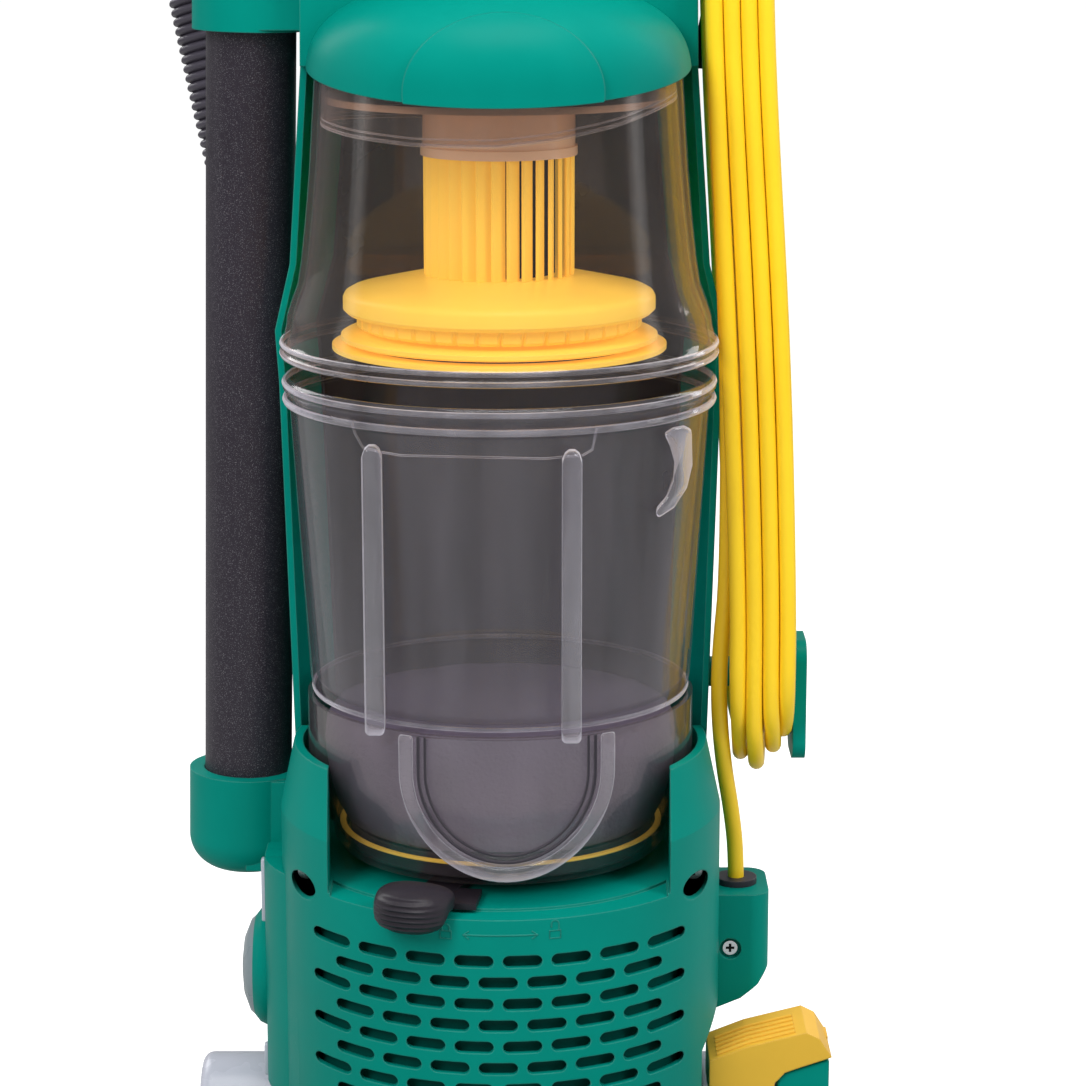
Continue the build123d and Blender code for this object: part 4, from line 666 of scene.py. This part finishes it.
# dark core: painted shade seen through the gaps between the louvres
make("cyclone_shade_core", SHADE_BLACK, "upright", turned([(20, 474), (24.6, 474), (24.6, 526), (20, 526)], 60))

# ------------------------ lever under the tray
LATCH_Z = 209.3
LATCH_TURN = -21.0              # degrees from the front, towards the left


def latch_point(reach, across, z):
    """Point on the lever from its reach, sideways offset and height."""
    a = math.radians(LATCH_TURN)
    return (reach * math.sin(a) + across * math.cos(a), CUP_Y - reach * math.cos(a) + across * math.sin(a), z)


def paddle():
    """Rounded thumb paddle with fine ridges across its front."""
    rows, columns = 40, 64
    points, faces = [], []
    for row in range(rows + 1):
        v = row / rows
        height = LATCH_Z + 12.4 * v
        girth = max(1 - abs(2 * v - 0.92) ** 3.2 / 1.3, 0.05) ** 0.5
        ridge = 0.45 * math.cos(2 * math.pi * v * 8)
        for column in range(columns):
            t = 2 * math.pi * column / columns
            c, d = math.cos(t), math.sin(t)
            reach = 102 + (14.5 * girth + (ridge if c > 0.1 else 0)) * math.copysign(abs(c) ** 0.8, c)
            across = 17.2 * girth * math.copysign(abs(d) ** 0.8, d) * (1 - 0.10 * c)
            droop = 6.0 * (1 - v) * min(max((reach - 101.2) / 5, 0), 1)
            points.append(latch_point(reach, across, height - droop))
    for row in range(rows):
        for column in range(columns):
            a, b = row * columns, (row + 1) * columns
            k = (column + 1) % columns
            faces.append((a + column, a + k, b + k, b + column))
    faces += [tuple(range(columns)), tuple(rows * columns + k for k in range(columns))]
    return points, faces


def sector(r0, r1, a0, a1, z0, z1, steps=24):
    """Flat piece of a ring between two angles from the front, positive towards +X."""
    rim = []
    for r, order in ((r0, range(steps + 1)), (r1, range(steps, -1, -1))):
        for step in order:
            a = math.radians(a0 + (a1 - a0) * step / steps)
            rim.append((r * math.sin(a), CUP_Y - r * math.cos(a)))
    count = len(rim)
    points = [(x, y, z) for z in (z0, z1) for x, y in rim]
    faces = [(i, i + 1, count - 2 - i, count - 1 - i) for i in range(steps)]
    faces += [tuple(count + k for k in face) for face in faces]
    return points, faces + [(i, (i + 1) % count, (i + 1) % count + count, i + count) for i in range(count)]


hub_outline = [(8.6, 0), (21.6, 0), (22, 0.6), (22, 2.4), (21.4, 3), (8.6, 3)]
hub = turned([(r, LATCH_Z + h) for r, h in hub_outline], 60)
arm_plan = [latch_point(r, w, 0)[:2] for r, w in ((18, -9), (94, -8), (94, 8), (18, 9))]
# the curved plate (sector) beside the arm is partly the lever and partly painted shade: a dark band for the
# shadow under the tray
make("latch_paddle", LEVER, "latch", paddle(), hub, upright_prism(arm_plan, LATCH_Z + 0.1, LATCH_Z + 2.9),
     sector(70, 91.5, -30, -6, LATCH_Z + 0.1, LATCH_Z + 2.7), stands_for=["latch_lever"], angle=50)

# ------------------------ motor housing front: sheet of painted shade behind the grille, symbols, screws
# dark green sheet behind the grille slots: painted shade where the housing's inside lies in shadow
shade_sheet = sector(91.5, 93.5, -58, 58, 88, 205, 60)
make("grille_shade_sheet", VENT_SHADE_GREEN, "upright", shade_sheet)


def symbol(path, closed=False, thick=0.4):
    """Thin raised line on the front of the motor housing."""
    front = on_round(100.0, -0.1)
    return bar([(x, front(x, z), z) for x, z in path], thick, 6, closed)


def padlock(x, z, open_by):
    """Outline of a padlock; open_by raises one leg of its shackle."""
    body = [(x - 2.4, z), (x + 2.4, z), (x + 2.4, z + 3.4), (x - 2.4, z + 3.4)]
    hoop = [(x - 1.6, z + 3.4 + open_by)]
    for k in range(9):
        a = math.pi * k / 8
        hoop.append((x - 1.6 * math.cos(a), z + 5 + open_by + 1.6 * math.sin(a)))
    return [symbol(body, True), symbol(hoop + [(x + 1.6, z + 3.4)])]


make("lever_symbols", GREEN, "upright", *padlock(-22.5, 199, 0), *padlock(24.5, 199, 1.4),
     symbol([(-15 + 2 * k, 201) for k in range(17)]), symbol([(-12.5, 202.8), (-15, 201), (-12.5, 199.2)]),
     symbol([(14.5, 202.8), (17, 201), (14.5, 199.2)]))


def cross_recess(x, y, z, size):
    """Dark cross of painted shade for the Phillips recess on a screw head that faces the front, a hair proud
    of it.
    """
    a, b = size, size * 0.3
    outline = [(-b, -a), (b, -a), (b, -b), (a, -b), (a, b), (b, b),
               (b, a), (-b, a), (-b, b), (-a, b), (-a, -b), (-b, -b)]
    return plate([(x + u, z + w) for u, w in outline], lambda u, w: y - 0.08, lambda u, w: y + 0.3)


# screw recesses: flat dark crosses of painted shade
make("screw_recess_shade", SHADE_BLACK, "upright", cross_recess(106, 47.5, 158, 2.0), cross_recess(-87, 12, 207, 2.2),
     cross_recess(87, 12, 207, 2.2))


def slab(x0, x1, y0, y1, z0, z1):
    """Block between two corners, for pieces whose edges are then rounded."""
    return upright_prism([(x0, y0), (x1, y0), (x1, y1), (x0, y1)], z0, z1)


SIDE_LOW, SIDE_HIGH, SIDE_BACK, SIDE_X = 95.5, 204.0, 100.0, -108.6
CAP_Y, CAP_Z = 70.0, 142.0
RECLINE_CUT = 66.0              # the low back corner is cut off, so that it clears the base when reclined


def side_wall(x0, x1, front, hole, steps=64):
    """Wall on the left of the motor housing with a round hole for the clean-out cap."""
    points, faces = [], []
    for step in range(steps):
        a = 2 * math.pi * (step + 0.5) / steps
        c, d = math.cos(a), math.sin(a)
        far_y = (SIDE_BACK - CAP_Y if c > 0 else CAP_Y - front) / max(abs(c), 1e-6)
        far_z = (SIDE_HIGH - CAP_Z if d > 0 else CAP_Z - SIDE_LOW) / max(abs(d), 1e-6)
        far_corner = RECLINE_CUT / (c - d) if c > 0 > d else far_y
        for reach in (hole, min(far_y, far_z, far_corner)):
            points += [(x, CAP_Y + reach * c, CAP_Z + reach * d) for x in (x0, x1)]
        faces += tube_sides(4 * step, 4 * ((step + 1) % steps))
    return points, faces


side_corner = [(-94, 12), (-98.5, 17.5), (-102.2, 23.5), (-105, 29.5), (-107.2, 35.5), (SIDE_X, 41.5),
               (-99, 41.5), (-92, 30)]
make("left_side_skirt", GREEN, "upright", sector(90, 100, -90, -65, SIDE_LOW, 141, 12),
     slab(-100, -90.5, 39.6, 110, SIDE_LOW, 141))
make("left_side_wall", GREEN, "upright", side_wall(SIDE_X, -99.5, 41.4, 28.4),
     upright_prism(side_corner, SIDE_LOW, SIDE_HIGH))
make("left_side_strip", GREY_TRIM, "upright", *[slab(SIDE_X - 1.8, SIDE_X + 1, 43.5, 48.5, low, high)
                                                for low, high in ((97, 112), (172, 202))], width=0.8)


def tread(y):
    """Ridge along the top of the pedal at one depth."""
    top = [(98.5, 118.9), (112.3, 124.4), (134, 130.0)]
    return bar([(x, y, z + 0.3) for x, z in top], 1.0, 8)


make("pedal_tread", PEDAL, "pedal", *[tread(12.5 + 5.2 * i) for i in range(5)])
stem = [(126, 92), (149.6, 92), (149.6, 117.5), (136.1, 113.5), (129.3, 111.2), (126, 108.5)]
make("pedal_stem", GREEN, "pedal", plate(stem, lambda x, z: 9.5, lambda x, z: 36.0), width=1.2)


def coil(x, y, low, high, radius, turns, wire, sides=24):
    """Upright spring of round wire."""
    steps = turns * sides
    path = []
    for i in range(steps + 1):
        a = 2 * math.pi * i / sides
        path.append((x + radius * math.cos(a), y + radius * math.sin(a), low + (high - low) * i / steps))
    return bar(path, wire, 8)


SPRING_X, SPRING_Y, SPRING_LOW, SPRING_HIGH = 116, 24, 60, 98
spring_coil = coil(SPRING_X, SPRING_Y, SPRING_LOW + 1.0, SPRING_HIGH - 1.0, 5, 6, 0.9)
spring = make("pedal_coil", STEEL, None, spring_coil, stands_for=["pedal_spring"])
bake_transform(spring)


def about_cap(x, y, h):
    return (-h, CAP_Y + x, CAP_Z + y)


cap_outline = [(0.05, 101), (16.3, 101), (16.3, 106.6), (26, 106.6), (28, 108), (28, 110.4), (26.6, 113.2),
               (22, 116.8), (15, 119.4), (7, 120.6), (0.05, 120.8)]
cap_face = [(0.05, 118.6), (10, 118), (18, 115.6), (23, 112.9), (24.6, 114.4), (21.6, 117.7), (14, 120.7),
            (6, 121.7), (0.05, 121.8)]
make("cap_face_disc", CAP_GREY, "cleanout_cap", turned(cap_face, 96, about_cap))
make("clean_out_cap", GREEN, "cleanout_cap", turned(cap_outline, 96, about_cap), stands_for=["duct_cap"])

# ------------------------ power cord: one spline from grommet to plug
CORD_D = 7.5
HOOK_Y = 72.0
LEAD = [(109.5, 66, 170), (109.5, 66, 197), (106.5, 60, 221), (102, 52.5, 246), (99.5, 49.8, 273),
        (99.8, 49.7, 300), (103, 49.7, 335)]
LOW_X = [107.4, 114.95, 122.5, 130.05]
MID_X = [102.0, 110.2, 118.0, 125.7]
TOP_X = [92.4, 99.9, 107.4, 114.9]
INNER, OUTER = 22.6, 30.2
TURNS = [(0, INNER, 280), (1, INNER, 283), (2, INNER, 281), (3, INNER, 284),
         (3, OUTER, 285), (2, OUTER, 277), (1, OUTER, 269), (0, OUTER, 283)]
HIGH_Z = 643.6


def cord_points():
    """Control points of the lead, the turns between the hooks and the tail into the plug."""
    points = list(LEAD)
    for number, (lane, r, low) in enumerate(TURNS):
        wide = r / math.cos(math.radians(15))
        if number:
            points.append((LOW_X[lane], HOOK_Y - r, 325))
        points += [(MID_X[lane], HOOK_Y - r, 440), (TOP_X[lane] + 1.5, HOOK_Y - r, 570)]
        for step in range(7):
            a = math.radians(15 + 30 * (step - 0.5))
            points.append((TOP_X[lane], HOOK_Y - wide * math.cos(a), HIGH_Z + wide * math.sin(a)))
        if number == len(TURNS) - 1:
            break
        behind = HOOK_Y + r
        points += [(TOP_X[lane] + 1.5, behind, 570), (MID_X[lane], behind, 440), (LOW_X[lane], behind, 325)]
        after, r2, low2 = TURNS[number + 1]
        for step in range(7):
            share = step / 6
            a = math.radians(15 + 30 * (step - 0.5))
            reach = (r + (r2 - r) * share) / math.cos(math.radians(15))
            height = low + (low2 - low) * share
            x = LOW_X[lane] + (LOW_X[after] - LOW_X[lane]) * share
            points.append((x, HOOK_Y + reach * math.cos(a), height - reach * math.sin(a)))
    return points + [(95.5, 104.5, 632), (101, 111, 618), (103, 114.2, 604), (103, 114.2, 590)]


def nurbs(name, route):
    """Open NURBS curve object on control points in millimetres."""
    data = bpy.data.curves.new(name, "CURVE")
    data.dimensions = "3D"
    spline = data.splines.new("NURBS")
    spline.points.add(len(route) - 1)
    for point, place in zip(spline.points, route):
        point.co = (*mm(*place), 1)
    spline.use_endpoint_u = True
    spline.order_u = 3
    item = bpy.data.objects.new(name, data)
    scene.collection.objects.link(item)
    return item


power_cord = nurbs("power_cord", cord_points())
power_cord.data.splines[0].resolution_u = 6
power_cord.data.bevel_depth = CORD_D / 2 * MM
power_cord.data.bevel_resolution = 5
power_cord.data.use_fill_caps = True
power_cord.data.materials.append(CORD)
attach(power_cord, "upright")
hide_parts("cord_lead", "cord_hank")

# ------------------------ suction hose
HOSE_ROUTE = [(-107.9, 56.1, 766.9), (-108, -3, 826), (-109, -17, 909), (-112, 18, 985), (-116, 90, 1027),
              (-122, 174, 1020), (-130, 238, 966), (-139, 260, 885), (-147, 232, 806), (-153, 193, 732),
              (-150, 167, 646), (-133, 155, 561), (-115, 148, 480), (-98, 142, 402), (-79, 128, 334),
              (-79, 128, 292)]
HOSE_R = 18.0
guide = nurbs("hose_guide", HOSE_ROUTE)
guide.data.splines[0].resolution_u = 40
guide_mesh = bpy.data.meshes.new_from_object(guide)
hose_line = [v.co / MM for v in guide_mesh.vertices]
bpy.data.objects.remove(guide)


def resample(line, step):
    """Points of a line at an even spacing."""
    out, carry = [line[0]], 0.0
    for a, b in zip(line, line[1:]):
        run = (b - a).length
        while carry + run >= step:
            a = a.lerp(b, (step - carry) / run)
            run = (b - a).length
            carry = 0.0
            out.append(a)
        carry += run
    return out + [line[-1]]


RING_PITCH = 4.4
ring_steps = 6
fine_line = resample(hose_line, RING_PITCH / ring_steps)
radii = [HOSE_R - 2.3 + 2.3 * abs(math.sin(math.pi * i / ring_steps)) ** 0.6 for i in range(len(fine_line))]
hose = make("corrugated_hose", HOSE, None, bar(fine_line, radii, 28), stands_for=["suction_hose"])
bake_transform(hose)


def about(foot, axis):
    """Placing function of a turned part whose axis starts at a point."""
    out = Vector(axis).normalized()
    side = out.orthogonal().normalized()
    up = out.cross(side)
    return lambda x, y, h: tuple(Vector(foot) + side * x + up * y + out * h)


cuff = [(18.15, 0.2), (20.6, 0.2), (21.2, 0.9), (21.2, 11), (20.6, 13), (19.4, 13.6), (18.15, 13.6)]
make("hose_cuff_wand", CHARCOAL, "wand", turned(cuff, 72, about(HOSE_ROUTE[0], (0, -1, 1))))
make("hose_cuff_socket", CHARCOAL, "upright", turned(cuff, 72, about((-79, 128, 292), (0, 0, 1))))
